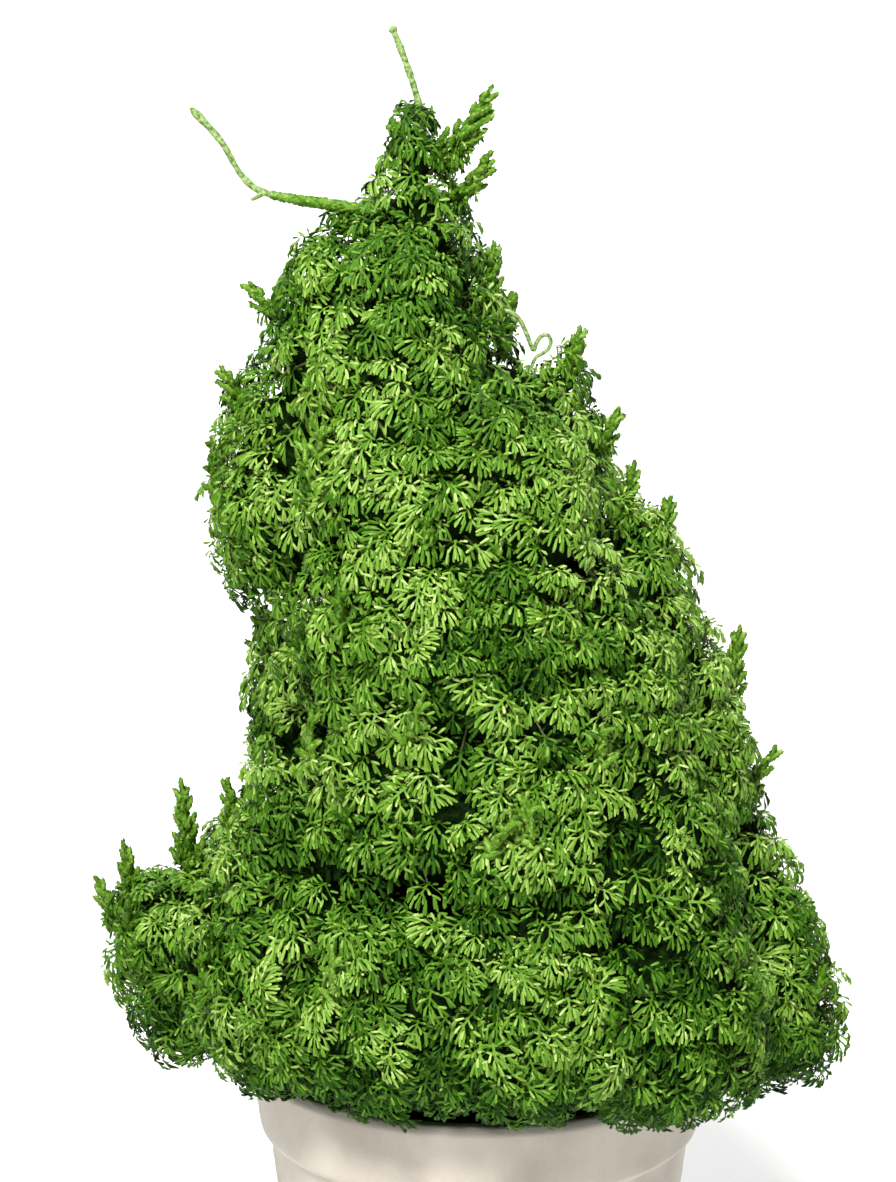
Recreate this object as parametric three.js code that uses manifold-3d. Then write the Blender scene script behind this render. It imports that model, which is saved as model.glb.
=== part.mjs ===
// Potted dwarf hinoki cypress: a plain clay pot filled with soil, a leaning trunk whose leader ends in a
// bare whip, short boughs, and dense masses of fan-shaped sprays that keep apart from each other.
// Millimetres, +Z up. The origin is the middle of the pot's underside and the front of the plant is -Y.
import * as THREE from "three";
import { mergeVertices } from "three/addons/utils/BufferGeometryUtils.js";
import Module from "manifold-3d";

const wasm = await Module();
wasm.setup();

// Pot and soil
const POT_HEIGHT = 240;
const POT_MOUTH_RADIUS = 132;
const POT_FOOT_RADIUS = 98;
const POT_WALL = 8;
const POT_FLOOR = 11;
const COLLAR_HEIGHT = 46;
const COLLAR_STEP = 5;
const POT_SIDES = 32;
const DRAIN_HOLES = 3;
const DRAIN_RADIUS = 6;
const DRAIN_RING = 52;
const SOIL_DEPTH_BELOW_RIM = 24;
const SOIL_BUMP = 4;

// Trunk and boughs
const SOIL_TOP = POT_HEIGHT - SOIL_DEPTH_BELOW_RIM;
const FOLIAGE_TOP = 778;
const WHIP_TOP = 820;
const TRUNK_RADIUS = 12;
const ROOT_FLARE = 7;
const FLARE_HEIGHT = 26;
const LEADER_RADIUS = 1.8;
const WHIP_NODULE = 0.9;
const TRUNK_LEAN = -34;
const WHIP_LEAN = -14.5;
const TRUNK_SWAY = 5;
const TRUNK_SIDES = 8;
const TRUNK_RINGS = 26;
const BOUGH_SIDES = 6;
const BOUGH_RINGS = 3;
const BOUGH_RISE = 0.45; // how far a bough climbs for each millimetre that it runs out
const BOUGH_DROP = 6; // a bough leaves the trunk this much lower still
const BOUGH_KNEE = 0.45; // share of the way out at which it bends up
const BOUGH_TAPER = 0.35;
const THINNEST_BOUGH = 2.2;
const BOUGH_THICKENING = 0.035; // for each millimetre of its mass's half width and height
const SHORTEST_BOUGH = 82; // a mass nearer than this meets the trunk with its own stem
const LOWEST_BOUGH = 22; // above the soil
const BOUGH_STAGGER = 15; // neighbouring low boughs leave the trunk this much above each other
const STEM_LENGTH = 5;
const STEM_SHARE = 0.65; // a stem's thickness, as a share of its bough's
const STEM_SUNK = 10; // how far a stem runs on inside its mass
const ROOM = 1; // what foliage keeps clear of boughs and of other masses' stems
const NEIGHBOUR = 160; // masses whose middles are nearer than this leave room for each other's stems

// Foliage
const SEAT = 0.35; // clearance between solids that meet
const NEIGHBOUR_REACH = 1.3; // masses apart by more than this share of their reaches need no plane
const SPACE_GAP = 0.8; // clearance between the spaces of neighbouring masses
const LEAST_SHARE = 0.3; // of the way to a neighbour that a mass always keeps
const CORE_SHARE = 0.84; // a mass's solid core, as a share of the mass
const CORE_DETAIL = 1;
const CORE_LUMPS = 0.07;
const BLOCKINESS = 2.4;
const FULLNESS = 1.24; // masses overlap by this before the planes between them take the overlap off
const DEPTH_SHARE = 1.15; // half depth of a mass towards the trunk, as a share of its half width
const SHOOTS = 10;
const SHOOT_ROOT = 0.93; // how far out in the core a shoot is rooted
const SHOOT_LENGTH = 0.54; // of its mass's reach
const SHOOT_LIFT = 0.5; // how steeply a shoot stands off its mass
const SHOOT_WIDTH = 0.95;
const FLOW_OUTWARD = 0.35; // shoots hang down, and outward by this much
const SHOOT_CAP = 1.15; // shoots cover the outer side of a mass: 1 is half of it and 2 all round
const SHOOT_SIZES = [1, 0.8, 0.6]; // a shoot that would leave its space is tried at these sizes
const BLADE_TEETH = 4;
const FAN_SPREAD = 1.05; // half the angle, in radians, over which a fan's teeth spread
const FAN_ARC = 0.75; // radius of the toothed edge, as a share of the fan's length
const FAN_NOTCH = 0.8;
const FAN_DROOP = 0.38;
const BLADE_THICKNESS = 0.07; // of its length
const SPIRE_FANS = 2;
const SPIRE_FAN_WIDTH = 0.62;
const SPIRE_FAN_LENGTH = 0.62; // of the length that stands clear, for the lowest fan
const SPIRE_FOOT = 3.2;
const SPIRE_TIP = 1;
const SPIRE_SUNK = 6;
const SPIRE_ROOT = 0.45; // how far a spire's stem runs on towards the middle of its mass
const SPIRE_TURN = 2.1; // radians from one fan to the next
const GOLDEN_ANGLE = Math.PI * (3 - Math.sqrt(5));

// Each mass of foliage: the turn about the trunk in degrees (0 right, 90 back, 180 left, 270 front),
// the height of its middle, how far its outer side stands from the trunk, half its width and height, and
// its spread: how much wider it is low down than at the middle, and narrower high up.
const MASSES = [
  ["leader", 180, 727, 35, 29, 46, 0.35],
  ["shoulder_left", 188, 662, 97, 35, 43, 0.25],
  ["shoulder_right", 12, 650, 45, 30, 44, 0.25],
  ["shoulder_front", 246, 657, 92, 41, 50, 0.3],
  ["shoulder_back", 110, 655, 98, 47, 52, 0.3],
  ["upper_left", 180, 591, 130, 36, 38, 0.1],
  ["upper_right", 4, 594, 96, 32, 49, 0.25],
  ["breast_left", 252, 588, 122, 45, 47, 0.2],
  ["breast_right", 300, 572, 122, 42, 48, 0.2],
  ["breast_back_left", 132, 552, 142, 52, 58, 0.2],
  ["breast_back_right", 60, 548, 142, 55, 60, 0.2],
  ["middle_left", 186, 542, 137, 45, 43, -0.1],
  ["middle_right", 0, 506, 145, 41, 50, 0.25],
  ["waist_left", 246, 508, 144, 43, 46, 0.2],
  ["waist_front", 281, 500, 156, 46, 46, 0.2],
  ["waist_right", 315, 476, 158, 43, 49, 0.25],
  ["low_left", 187, 440, 129, 45, 55, 0.05],
  ["low_right", 0, 424, 174, 40, 55, 0.25],
  ["hip_left", 250, 422, 156, 46, 53, 0.2],
  ["hip_front", 286, 408, 176, 46, 55, 0.2],
  ["hip_right", 318, 386, 188, 43, 52, 0.25],
  ["hip_back_left", 120, 426, 170, 60, 64, 0.2],
  ["hip_back_right", 48, 414, 188, 62, 66, 0.2],
  ["flank_left", 216, 370, 162, 42, 47, 0.2],
  ["spur_left", 170, 346, 152, 31, 42, 0.1],
  ["haunch_right", 6, 338, 191, 38, 48, 0.25],
  ["foot_left", 182, 290, 213, 43, 54, -0.15],
  ["foot_front_left", 254, 308, 188, 48, 54, 0.1],
  ["foot_left_front", 220, 300, 190, 49, 53, 0.05],
  ["foot_front", 284, 309, 203, 50, 55, 0.1],
  ["foot_front_right", 316, 294, 206, 50, 57, 0.1],
  ["foot_right", 0, 280, 216, 47, 60, 0.22],
  ["foot_back_right", 40, 296, 210, 62, 62, 0.15],
  ["foot_back", 90, 300, 204, 66, 64, 0.15],
  ["foot_back_left", 138, 296, 210, 62, 62, 0.1],
];

// Spires that break the crown's outline: the mass that each stands on, then the turn, height and
// distance from the trunk of its tip, the length that stands clear, and how far it leans out.
const SPIRES = [
  ["leader", 0, 787, 42, 50, 1.1],
  ["leader", 350, 752, 38, 34, 1.1],
  ["shoulder_left", 180, 681, 99, 26, 1.2],
  ["shoulder_right", 0, 702, 36, 38, 0.1],
  ["shoulder_right", 4, 675, 44, 24, 0.2],
  ["upper_left", 180, 634, 118, 40, 0.8],
  ["upper_right", 0, 656, 80, 32, 0.3],
  ["upper_right", 0, 611, 99, 22, 0.6],
  ["middle_right", 0, 581, 106, 34, 0.2],
  ["middle_right", 0, 561, 125, 30, 0.3],
  ["low_right", 4, 484, 162, 46, 0.2],
  ["low_right", 0, 416, 178, 26, 0.8],
  ["spur_left", 180, 397, 134, 24, 0.1],
  ["foot_left", 182, 398, 160, 62, 0.1],
  ["foot_left", 181, 361, 196, 50, 0.2],
  ["foot_left", 181, 340, 213, 34, 0.6],
];

// The left-hand whip: a slim bough that leaves the trunk between the masses, its first part covered with
// sprays, then bare to its tip. Points are distance to the left of the trunk, and height.
const WHIP_ROUTE = [
  [0, 700],
  [24, 717],
  [46, 723],
  [83, 729],
  [98, 738],
  [109, 758],
  [124, 776],
];
const WHIP_RADIUS = 2;
const WHIP_TAPER = 0.45;
const WHIP_RINGS = 16;
const WHIP_BEAD = 0.7;
const WHIP_BEADS = 23; // radians of beading along the whip
const WHIP_SPRAYS = 7;
const WHIP_SPRAY = 18;
const WHIP_SPRAYED = [0.26, 0.56]; // the stretch that carries sprays
const WHIP_ROOM = 1.2;

const UP = new THREE.Vector3(0, 0, 1);
const BARK = new THREE.MeshStandardMaterial({ color: 0x6b5240, roughness: 0.9, metalness: 0 });
const CLAY = new THREE.MeshStandardMaterial({ color: 0xb9b1a5, roughness: 0.85, metalness: 0 });
const SOIL = new THREE.MeshStandardMaterial({ color: 0x2c2119, roughness: 1, metalness: 0 });
const FOLIAGE = new THREE.MeshStandardMaterial({ color: 0x4c7423, roughness: 0.6, metalness: 0 });
const YOUNG_BARK = new THREE.MeshStandardMaterial({ color: 0x8fb45a, roughness: 0.6, metalness: 0 });

// A fixed scatter: the same share between 0 and 1 for the same number, everywhere.
function scatter(n) {
  const s = Math.sin(n * 12.9898 + 78.233) * 43758.5453;
  return s - Math.floor(s);
}

function solidOf(geometry) {
  geometry.deleteAttribute("normal");
  geometry.deleteAttribute("uv");
  const closed = mergeVertices(geometry, 1e-3);
  return new wasm.Manifold(
    new wasm.Mesh({
      numProp: 3,
      vertProperties: closed.attributes.position.array,
      triVerts: new Uint32Array(closed.index.array),
    }),
  );
}

function geometryOf(solid) {
  const mesh = solid.getMesh();
  return new THREE.BufferGeometry()
    .setAttribute("position", new THREE.BufferAttribute(new Float32Array(mesh.vertProperties), 3))
    .setIndex(new THREE.BufferAttribute(new Uint32Array(mesh.triVerts), 1));
}

// The largest connected body of a solid. A scrap that a cut leaves loose is dropped.
function wholeBody(solid) {
  return solid.decompose().reduce((a, b) => (a.volume() > b.volume() ? a : b));
}

function named(name, geometry, material, at = new THREE.Vector3()) {
  const mesh = new THREE.Mesh(geometry, material);
  mesh.name = name;
  mesh.position.copy(at);
  return mesh;
}

// A tapering limb along a curve: a capped cylinder whose rings are carried onto the curve.
function limb(curve, radiusAt, sides, rings) {
  const geometry = new THREE.CylinderGeometry(1, 1, 1, sides, rings);
  const position = geometry.attributes.position;
  const reference = new THREE.Vector3(0.31, 0.95, 0.05).normalize();
  const place = new THREE.Vector3();
  for (let i = 0; i < position.count; i++) {
    place.fromBufferAttribute(position, i);
    const along = place.y + 0.5;
    const tangent = curve.getTangentAt(along);
    const across = reference.clone().cross(tangent).normalize();
    const other = across.clone().cross(tangent);
    const radius = radiusAt(along);
    const point = curve
      .getPointAt(along)
      .addScaledVector(across, place.x * radius)
      .addScaledVector(other, place.z * radius);
    position.setXYZ(i, point.x, point.y, point.z);
  }
  return geometry;
}

// Middle of the trunk at a height: it leans to the left with a slight sway, and the whip leans further.
function trunkMiddle(height) {
  const climbed = THREE.MathUtils.clamp((height - SOIL_TOP) / (FOLIAGE_TOP - SOIL_TOP), 0, 1);
  const onWhip = THREE.MathUtils.clamp((height - FOLIAGE_TOP) / (WHIP_TOP - FOLIAGE_TOP), 0, 1);
  return new THREE.Vector3(
    TRUNK_LEAN * climbed ** 1.15 + WHIP_LEAN * onWhip ** 1.2,
    TRUNK_SWAY * Math.sin(2 * Math.PI * climbed),
    height,
  );
}

function trunkRadius(height) {
  const climbed = (height - SOIL_TOP) / (FOLIAGE_TOP - SOIL_TOP);
  const flare = ROOT_FLARE * Math.exp(-(height - SOIL_TOP) / FLARE_HEIGHT);
  const taper = THREE.MathUtils.lerp(TRUNK_RADIUS, LEADER_RADIUS, Math.min(climbed, 1) ** 0.9);
  const nodules = climbed > 1 ? WHIP_NODULE * Math.max(0, Math.sin((height - FOLIAGE_TOP) * 0.33)) : 0;
  return taper + flare + nodules;
}

// The trunk, grown by an extra radius where it serves as the room that foliage leaves for it.
function trunkGeometry(extra = 0) {
  const geometry = new THREE.CylinderGeometry(1, 1, 1, TRUNK_SIDES, TRUNK_RINGS);
  const position = geometry.attributes.position;
  for (let i = 0; i < position.count; i++) {
    const height = THREE.MathUtils.lerp(SOIL_TOP + SEAT, WHIP_TOP, position.getY(i) + 0.5);
    const middle = trunkMiddle(height);
    const radius = trunkRadius(height) + extra;
    position.setXYZ(i, middle.x + position.getZ(i) * radius, middle.y + position.getX(i) * radius, height);
  }
  return geometry;
}

// The direction of a turn about the trunk, and the point that far from the trunk's middle.
function turned(turn) {
  const angle = THREE.MathUtils.degToRad(turn);
  return new THREE.Vector3(Math.cos(angle), Math.sin(angle), 0);
}

function polar(turn, height, distance) {
  return trunkMiddle(height).addScaledVector(turned(turn), distance);
}

// Pot and soil share one inner wall, so the soil is turned from the same sizes.
function wallRadius(height) {
  return THREE.MathUtils.lerp(POT_FOOT_RADIUS, POT_MOUTH_RADIUS - COLLAR_STEP, height / POT_HEIGHT);
}

function potSolid() {
  const collarFoot = POT_HEIGHT - COLLAR_HEIGHT;
  const profile = [
    [0, 0],
    [POT_FOOT_RADIUS - 3, 0],
    [POT_FOOT_RADIUS, 3],
    [wallRadius(collarFoot), collarFoot],
    [wallRadius(collarFoot) + COLLAR_STEP, collarFoot + 3],
    [POT_MOUTH_RADIUS, POT_HEIGHT - 4],
    [POT_MOUTH_RADIUS - 3, POT_HEIGHT],
    [POT_MOUTH_RADIUS - COLLAR_STEP - POT_WALL + 3, POT_HEIGHT],
    [POT_MOUTH_RADIUS - COLLAR_STEP - POT_WALL, POT_HEIGHT - 4],
    [wallRadius(POT_FLOOR) - POT_WALL, POT_FLOOR],
    [0, POT_FLOOR],
  ].map(([r, z]) => new THREE.Vector2(r, z));
  let pot = solidOf(new THREE.LatheGeometry(profile, POT_SIDES).rotateX(Math.PI / 2));
  for (let i = 0; i < DRAIN_HOLES; i++) {
    const angle = (2 * Math.PI * i) / DRAIN_HOLES;
    const hole = new THREE.CylinderGeometry(DRAIN_RADIUS, DRAIN_RADIUS, 3 * POT_FLOOR, 12);
    hole.rotateX(Math.PI / 2).translate(DRAIN_RING * Math.cos(angle), DRAIN_RING * Math.sin(angle), 0);
    pot = pot.subtract(solidOf(hole));
  }
  return pot;
}

// The room that foliage leaves for the pot: it drapes over the rim and never dips inside.
function potRoom() {
  const room = new THREE.CylinderGeometry(1, 1, 1, POT_SIDES).rotateX(Math.PI / 2);
  room.scale(POT_MOUTH_RADIUS + SEAT, POT_MOUTH_RADIUS + SEAT, POT_HEIGHT + SEAT);
  return solidOf(room.translate(0, 0, (POT_HEIGHT + SEAT) / 2));
}

function soilGeometry() {
  const inner = (height) => wallRadius(height) - POT_WALL - SEAT;
  const top = inner(SOIL_TOP);
  const profile = [
    [0, POT_FLOOR + SEAT],
    [inner(POT_FLOOR), POT_FLOOR + SEAT],
    [top, SOIL_TOP - 4],
    [top * 0.82, SOIL_TOP - 1],
    [top * 0.55, SOIL_TOP - 1],
    [top * 0.28, SOIL_TOP],
    [0, SOIL_TOP],
  ].map(([r, z]) => new THREE.Vector2(r, z));
  const geometry = new THREE.LatheGeometry(profile, POT_SIDES).rotateX(Math.PI / 2);
  const position = geometry.attributes.position;
  for (let i = 0; i < position.count; i++) {
    const [x, y, z] = [position.getX(i), position.getY(i), position.getZ(i)];
    const out = Math.hypot(x, y) / top;
    if (z > SOIL_TOP - 2 && out > 0.5 && out < 0.9) {
      position.setZ(i, z - SOIL_BUMP * 0.5 * (1 + Math.sin(x * 0.11) * Math.cos(y * 0.13)));
    }
  }
  return geometry;
}

// How far a mass reaches from its middle in a direction, before its neighbours are taken off. It is a
// rounded block with sloping sides, so that neighbours meet with shallow notches between them.
function massRadius(mass, direction) {
  const girth = 1 - mass.spread * direction.z;
  const deep = Math.abs(direction.dot(mass.outward)) / (mass.deep * girth);
  const wide = Math.abs(direction.dot(mass.across)) / (mass.wide * girth);
  const tall = Math.abs(direction.z) / mass.tall;
  return (deep ** BLOCKINESS + wide ** BLOCKINESS + tall ** BLOCKINESS) ** (-1 / BLOCKINESS);
}

const masses = MASSES.map(([name, turn, height, reach, halfWidth, halfHeight, spread], index) => {
  const outward = turned(turn);
  const deep = halfWidth * (index > 0 ? DEPTH_SHARE : 1);
  return {
    name,
    index,
    outward,
    across: UP.clone().cross(outward),
    deep,
    wide: halfWidth * FULLNESS,
    tall: halfHeight * FULLNESS,
    spread,
    middle: trunkMiddle(height).addScaledVector(outward, reach - deep),
  };
});

// A mass's space is what lies on its own side of a plane between it and each neighbour.
function spaceOf(mass) {
  const planes = [];
  for (const other of masses) {
    if (other === mass) continue;
    const towards = other.middle.clone().sub(mass.middle);
    const distance = towards.length();
    towards.normalize();
    const own = massRadius(mass, towards);
    const theirs = massRadius(other, towards.clone().negate());
    if (distance > (own + theirs) * NEIGHBOUR_REACH) continue;
    const even = 0.5 + (own * own - theirs * theirs) / (2 * distance * distance);
    const share = THREE.MathUtils.clamp(even, LEAST_SHARE, 1 - LEAST_SHARE);
    planes.push({ normal: towards, limit: distance * share - SPACE_GAP / 2 });
  }
  return planes;
}

function withinSpace(planes, point) {
  return planes.every((plane) => plane.normal.dot(point) <= plane.limit);
}

// The core's radius in a direction: a lumpy, smaller mass, pulled in to the planes round its space.
function coreRadius(mass, direction) {
  const lump =
    1 +
    CORE_LUMPS *
      Math.sin(4 * direction.x + 5 * direction.z + mass.index) *
      Math.cos(5 * direction.y - 3 * direction.z + 2 * mass.index);
  let radius = CORE_SHARE * lump * massRadius(mass, direction);
  for (const plane of mass.space) {
    const towards = plane.normal.dot(direction);
    if (towards > 1e-6) radius = Math.min(radius, plane.limit / towards);
  }
  return radius;
}

function coreGeometry(mass) {
  const geometry = new THREE.IcosahedronGeometry(1, CORE_DETAIL);
  const position = geometry.attributes.position;
  const direction = new THREE.Vector3();
  for (let i = 0; i < position.count; i++) {
    direction.fromBufferAttribute(position, i).normalize();
    direction.multiplyScalar(coreRadius(mass, direction));
    position.setXYZ(i, direction.x, direction.y, direction.z);
  }
  return geometry;
}

// A toothed fan: a thin blade along +X that widens from its root to a round, toothed edge and droops.
function fanGeometry(length, width) {
  const outline = [[0, 0]];
  const steps = 2 * (BLADE_TEETH - 1);
  for (let k = 0; k <= steps; k++) {
    const angle = THREE.MathUtils.lerp(-FAN_SPREAD, FAN_SPREAD, k / steps);
    const out = k % 2 ? FAN_NOTCH : 1;
    const side = Math.sin(angle) / Math.sin(FAN_SPREAD);
    outline.push([length * (1 - FAN_ARC + FAN_ARC * out * Math.cos(angle)), (width / 2) * out * side]);
  }
  const droop = (x, y) => (-FAN_DROOP * (x * x + y * y)) / length;
  const points = outline.map(([x, y]) => [x, y, droop(x, y)]);
  const heart = 0.5 * length;
  const half = (BLADE_THICKNESS * length) / 2;
  points.push([heart, 0, droop(heart, 0) + half], [heart, 0, droop(heart, 0) - half]);
  const [top, bottom] = [outline.length, outline.length + 1];
  const index = outline.flatMap((_, i) => {
    const next = (i + 1) % outline.length;
    return [i, next, top, next, i, bottom];
  });
  return new THREE.BufferGeometry()
    .setAttribute("position", new THREE.Float32BufferAttribute(points.flat(), 3))
    .setIndex(index);
}

// Turns +X to the axis and +Z as near as it goes to the face direction, and moves the root into place.
function aimed(geometry, root, axis, face) {
  const side = face.clone().cross(axis).normalize();
  const normal = axis.clone().cross(side);
  return geometry.applyMatrix4(new THREE.Matrix4().makeBasis(axis, side, normal).setPosition(root));
}

// Shoot number i of a mass: golden-angle places over its outer side, each lying like a shingle.
function shoot(mass, i) {
  const cap = mass.index > 0 ? SHOOT_CAP : 2;
  const level = 1 - (cap * (i + 0.5)) / SHOOTS;
  const angle = i * GOLDEN_ANGLE + mass.index;
  const ring = Math.sqrt(1 - level * level);
  const direction = mass.outward.clone().multiplyScalar(level);
  direction.addScaledVector(mass.across, ring * Math.cos(angle)).addScaledVector(UP, ring * Math.sin(angle));
  const reach = massRadius(mass, direction);
  const flow = mass.outward.clone().multiplyScalar(FLOW_OUTWARD).sub(UP);
  flow.addScaledVector(direction, -flow.dot(direction)).normalize();
  const axis = flow.multiplyScalar(Math.sqrt(1 - SHOOT_LIFT ** 2)).addScaledVector(direction, SHOOT_LIFT);
  const length = reach * SHOOT_LENGTH * (0.9 + 0.2 * scatter(mass.index * 17 + i));
  const root = direction.clone().multiplyScalar(SHOOT_ROOT * coreRadius(mass, direction));
  return { direction, axis, root, length };
}

// True where every corner of a blade, in the mass's own frame, stays in its space.
function fits(mass, geometry) {
  const position = geometry.attributes.position;
  const corner = new THREE.Vector3();
  for (let i = 0; i < position.count; i++) {
    if (!withinSpace(mass.space, corner.fromBufferAttribute(position, i))) return false;
  }
  return true;
}

// A bough leaves the trunk level, below its mass, and bends up at its knee into the line of the mass's stem.
function boughRoute(mass) {
  const run = mass.middle.clone().sub(trunkMiddle(mass.middle.z)).setZ(0).length();
  const lowest = SOIL_TOP + LOWEST_BOUGH + BOUGH_STAGGER * (mass.index % 3);
  const root = trunkMiddle(Math.max(lowest, mass.middle.z - BOUGH_RISE * run - BOUGH_DROP));
  const towards = mass.middle.clone().sub(root).setZ(0);
  const knee = root.clone().addScaledVector(towards, BOUGH_KNEE);
  return { root, knee, towards: towards.normalize() };
}

// Where a mass's stem ends: at its bough's tip, or in the trunk where the mass sits close to it.
function joinery(mass) {
  const { root, knee } = boughRoute(mass);
  const inward = knee.clone().sub(mass.middle).normalize();
  const face = coreRadius(mass, inward);
  const reach = mass.middle.distanceTo(knee) + knee.distanceTo(root) - trunkRadius(root.z);
  const hasBough = reach - face > SHORTEST_BOUGH;
  const tip = mass.middle.clone().addScaledVector(inward, face + STEM_LENGTH + SEAT);
  return { hasBough, root, knee, tip, inward, face };
}

function boughThickness(mass) {
  return THINNEST_BOUGH + BOUGH_THICKENING * (mass.wide + mass.tall);
}

function boughGeometry(mass, extra = 0) {
  const { root, knee, tip } = mass.join;
  const thick = boughThickness(mass);
  const curve = new THREE.QuadraticBezierCurve3(root, knee, tip);
  return limb(curve, (t) => thick * (1 - BOUGH_TAPER * t) + extra, BOUGH_SIDES, BOUGH_RINGS);
}

function boughSolid(mass, trunkRoom) {
  return wholeBody(solidOf(boughGeometry(mass)).subtract(trunkRoom));
}

function stemGeometry(mass, extra = 0) {
  const { hasBough, inward, face, root } = mass.join;
  const onTrunk = root.clone().addScaledVector(boughRoute(mass).towards, 0.6 * trunkRadius(root.z));
  const inner = inward.clone().multiplyScalar(face - STEM_SUNK);
  const outer = hasBough ? inward.clone().multiplyScalar(face + STEM_LENGTH) : onTrunk.sub(mass.middle);
  const thick = Math.min(boughThickness(mass), trunkRadius(root.z)) * STEM_SHARE;
  return limb(new THREE.LineCurve3(inner, outer), () => thick + extra, 5, 1);
}

// The room that other masses leave round a mass's stem.
function stemRoom(mass) {
  return solidOf(stemGeometry(mass, ROOM)).translate(mass.middle.toArray());
}

function whipCurve() {
  const points = WHIP_ROUTE.map(([left, height], i) => {
    const sway = new THREE.Vector3(-left, -2 * Math.sin(i), 0);
    return trunkMiddle(height).add(sway);
  });
  return new THREE.CatmullRomCurve3(points);
}

function whipRadius(t) {
  const beads = WHIP_BEAD * Math.max(0, Math.sin(t * WHIP_BEADS)) * (t > 0.5 ? 1 : 0.4);
  return WHIP_RADIUS * (1.25 - WHIP_TAPER * t) + beads;
}

// The left-hand whip with the sprays along its first half, which stand to both sides and droop.
function whipSolid(trunkRoom) {
  const curve = whipCurve();
  let solid = wholeBody(solidOf(limb(curve, whipRadius, BOUGH_SIDES, WHIP_RINGS)).subtract(trunkRoom));
  for (let i = 0; i < WHIP_SPRAYS; i++) {
    const t = THREE.MathUtils.lerp(...WHIP_SPRAYED, i / (WHIP_SPRAYS - 1));
    const tangent = curve.getTangentAt(t);
    const side = new THREE.Vector3(0, i % 2 ? 1 : -1, 0.3 * (i % 3) - 0.3);
    const axis = tangent.clone().addScaledVector(side, 0.9).normalize();
    const blade = aimed(fanGeometry(WHIP_SPRAY, WHIP_SPRAY * 0.7), curve.getPointAt(t), axis, UP);
    solid = solid.add(solidOf(blade));
  }
  return solid;
}

// A spire: a stem from inside its mass to its tip, with fans that lean off it, the last one at the tip.
function spireFans(mass, [, turn, height, distance, standing, leaning]) {
  const tip = polar(turn, height, distance).sub(mass.middle);
  const lean = turned(turn).multiplyScalar(leaning).add(UP).normalize();
  const root = tip.clone().addScaledVector(lean, -standing - SPIRE_SUNK);
  const core = new THREE.LineCurve3(root.multiplyScalar(1 - SPIRE_ROOT), tip);
  const pieces = [limb(core, (t) => THREE.MathUtils.lerp(SPIRE_FOOT, SPIRE_TIP, t), 3, 1)];
  for (let k = 0; k < SPIRE_FANS; k++) {
    const share = k / SPIRE_FANS;
    const length = standing * (SPIRE_FAN_LENGTH - 0.36 * share);
    const angle = k * SPIRE_TURN + height;
    const roll = new THREE.Vector3(Math.cos(angle), Math.sin(angle), 0);
    const axis = lean.clone().addScaledVector(roll, 0.3 - 0.2 * share).normalize();
    const last = k === SPIRE_FANS - 1;
    const start = last ? tip.clone().addScaledVector(lean, -length) : core.getPointAt(0.42 + 0.4 * share);
    pieces.push(aimed(fanGeometry(length, length * SPIRE_FAN_WIDTH), start, axis, roll));
  }
  return pieces;
}

// One mass: its core and stem cut clear of the limbs, with shoots and spires, all fused.
function massSolid(mass, limbs) {
  let solid = solidOf(coreGeometry(mass));
  if (mass.index > 0) solid = solid.add(solidOf(stemGeometry(mass)));
  solid = wholeBody(solid.subtract(limbs));
  for (let i = 0; i < SHOOTS; i++) {
    const { direction, axis, root, length } = shoot(mass, i);
    const blades = SHOOT_SIZES.map((size) =>
      aimed(fanGeometry(size * length, size * length * SHOOT_WIDTH), root, axis, direction),
    );
    const blade = blades.find((geometry) => fits(mass, geometry));
    if (!blade) continue;
    const leaf = solidOf(blade);
    if (leaf.intersect(limbs).volume() > 0) continue;
    solid = solid.add(leaf);
  }
  for (const spire of SPIRES.filter(([name]) => name === mass.name)) {
    for (const piece of spireFans(mass, spire)) solid = solid.add(solidOf(piece).subtract(limbs));
  }
  return wholeBody(solid);
}

const trunkRoom = solidOf(trunkGeometry(SEAT));
const whipRoom = solidOf(limb(whipCurve(), (t) => whipRadius(t) + WHIP_ROOM, BOUGH_SIDES, WHIP_RINGS));
for (const mass of masses) mass.space = spaceOf(mass);
for (const mass of masses) mass.join = joinery(mass);

const cypress = new THREE.Group();
cypress.add(named("pot", geometryOf(potSolid()), CLAY));
cypress.add(named("soil", soilGeometry(), SOIL));
cypress.add(named("trunk", trunkGeometry(), BARK));
cypress.add(named("whip_left", geometryOf(whipSolid(trunkRoom)), YOUNG_BARK));

let limbRoom = trunkRoom.add(whipRoom).add(potRoom());
for (const mass of masses.filter(({ join }) => join.hasBough)) {
  cypress.add(named("bough_" + mass.name, geometryOf(boughSolid(mass, trunkRoom)), BARK));
  limbRoom = limbRoom.add(solidOf(boughGeometry(mass, ROOM)));
}
for (const mass of masses) {
  const others = masses.filter((other) => other !== mass && other.middle.distanceTo(mass.middle) < NEIGHBOUR);
  const room = others.reduce((whole, other) => whole.add(stemRoom(other)), limbRoom);
  const local = room.translate(mass.middle.clone().negate().toArray());
  cypress.add(named("foliage_" + mass.name, geometryOf(massSolid(mass, local)), FOLIAGE, mass.middle));
}

export default cypress;
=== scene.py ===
import math

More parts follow.
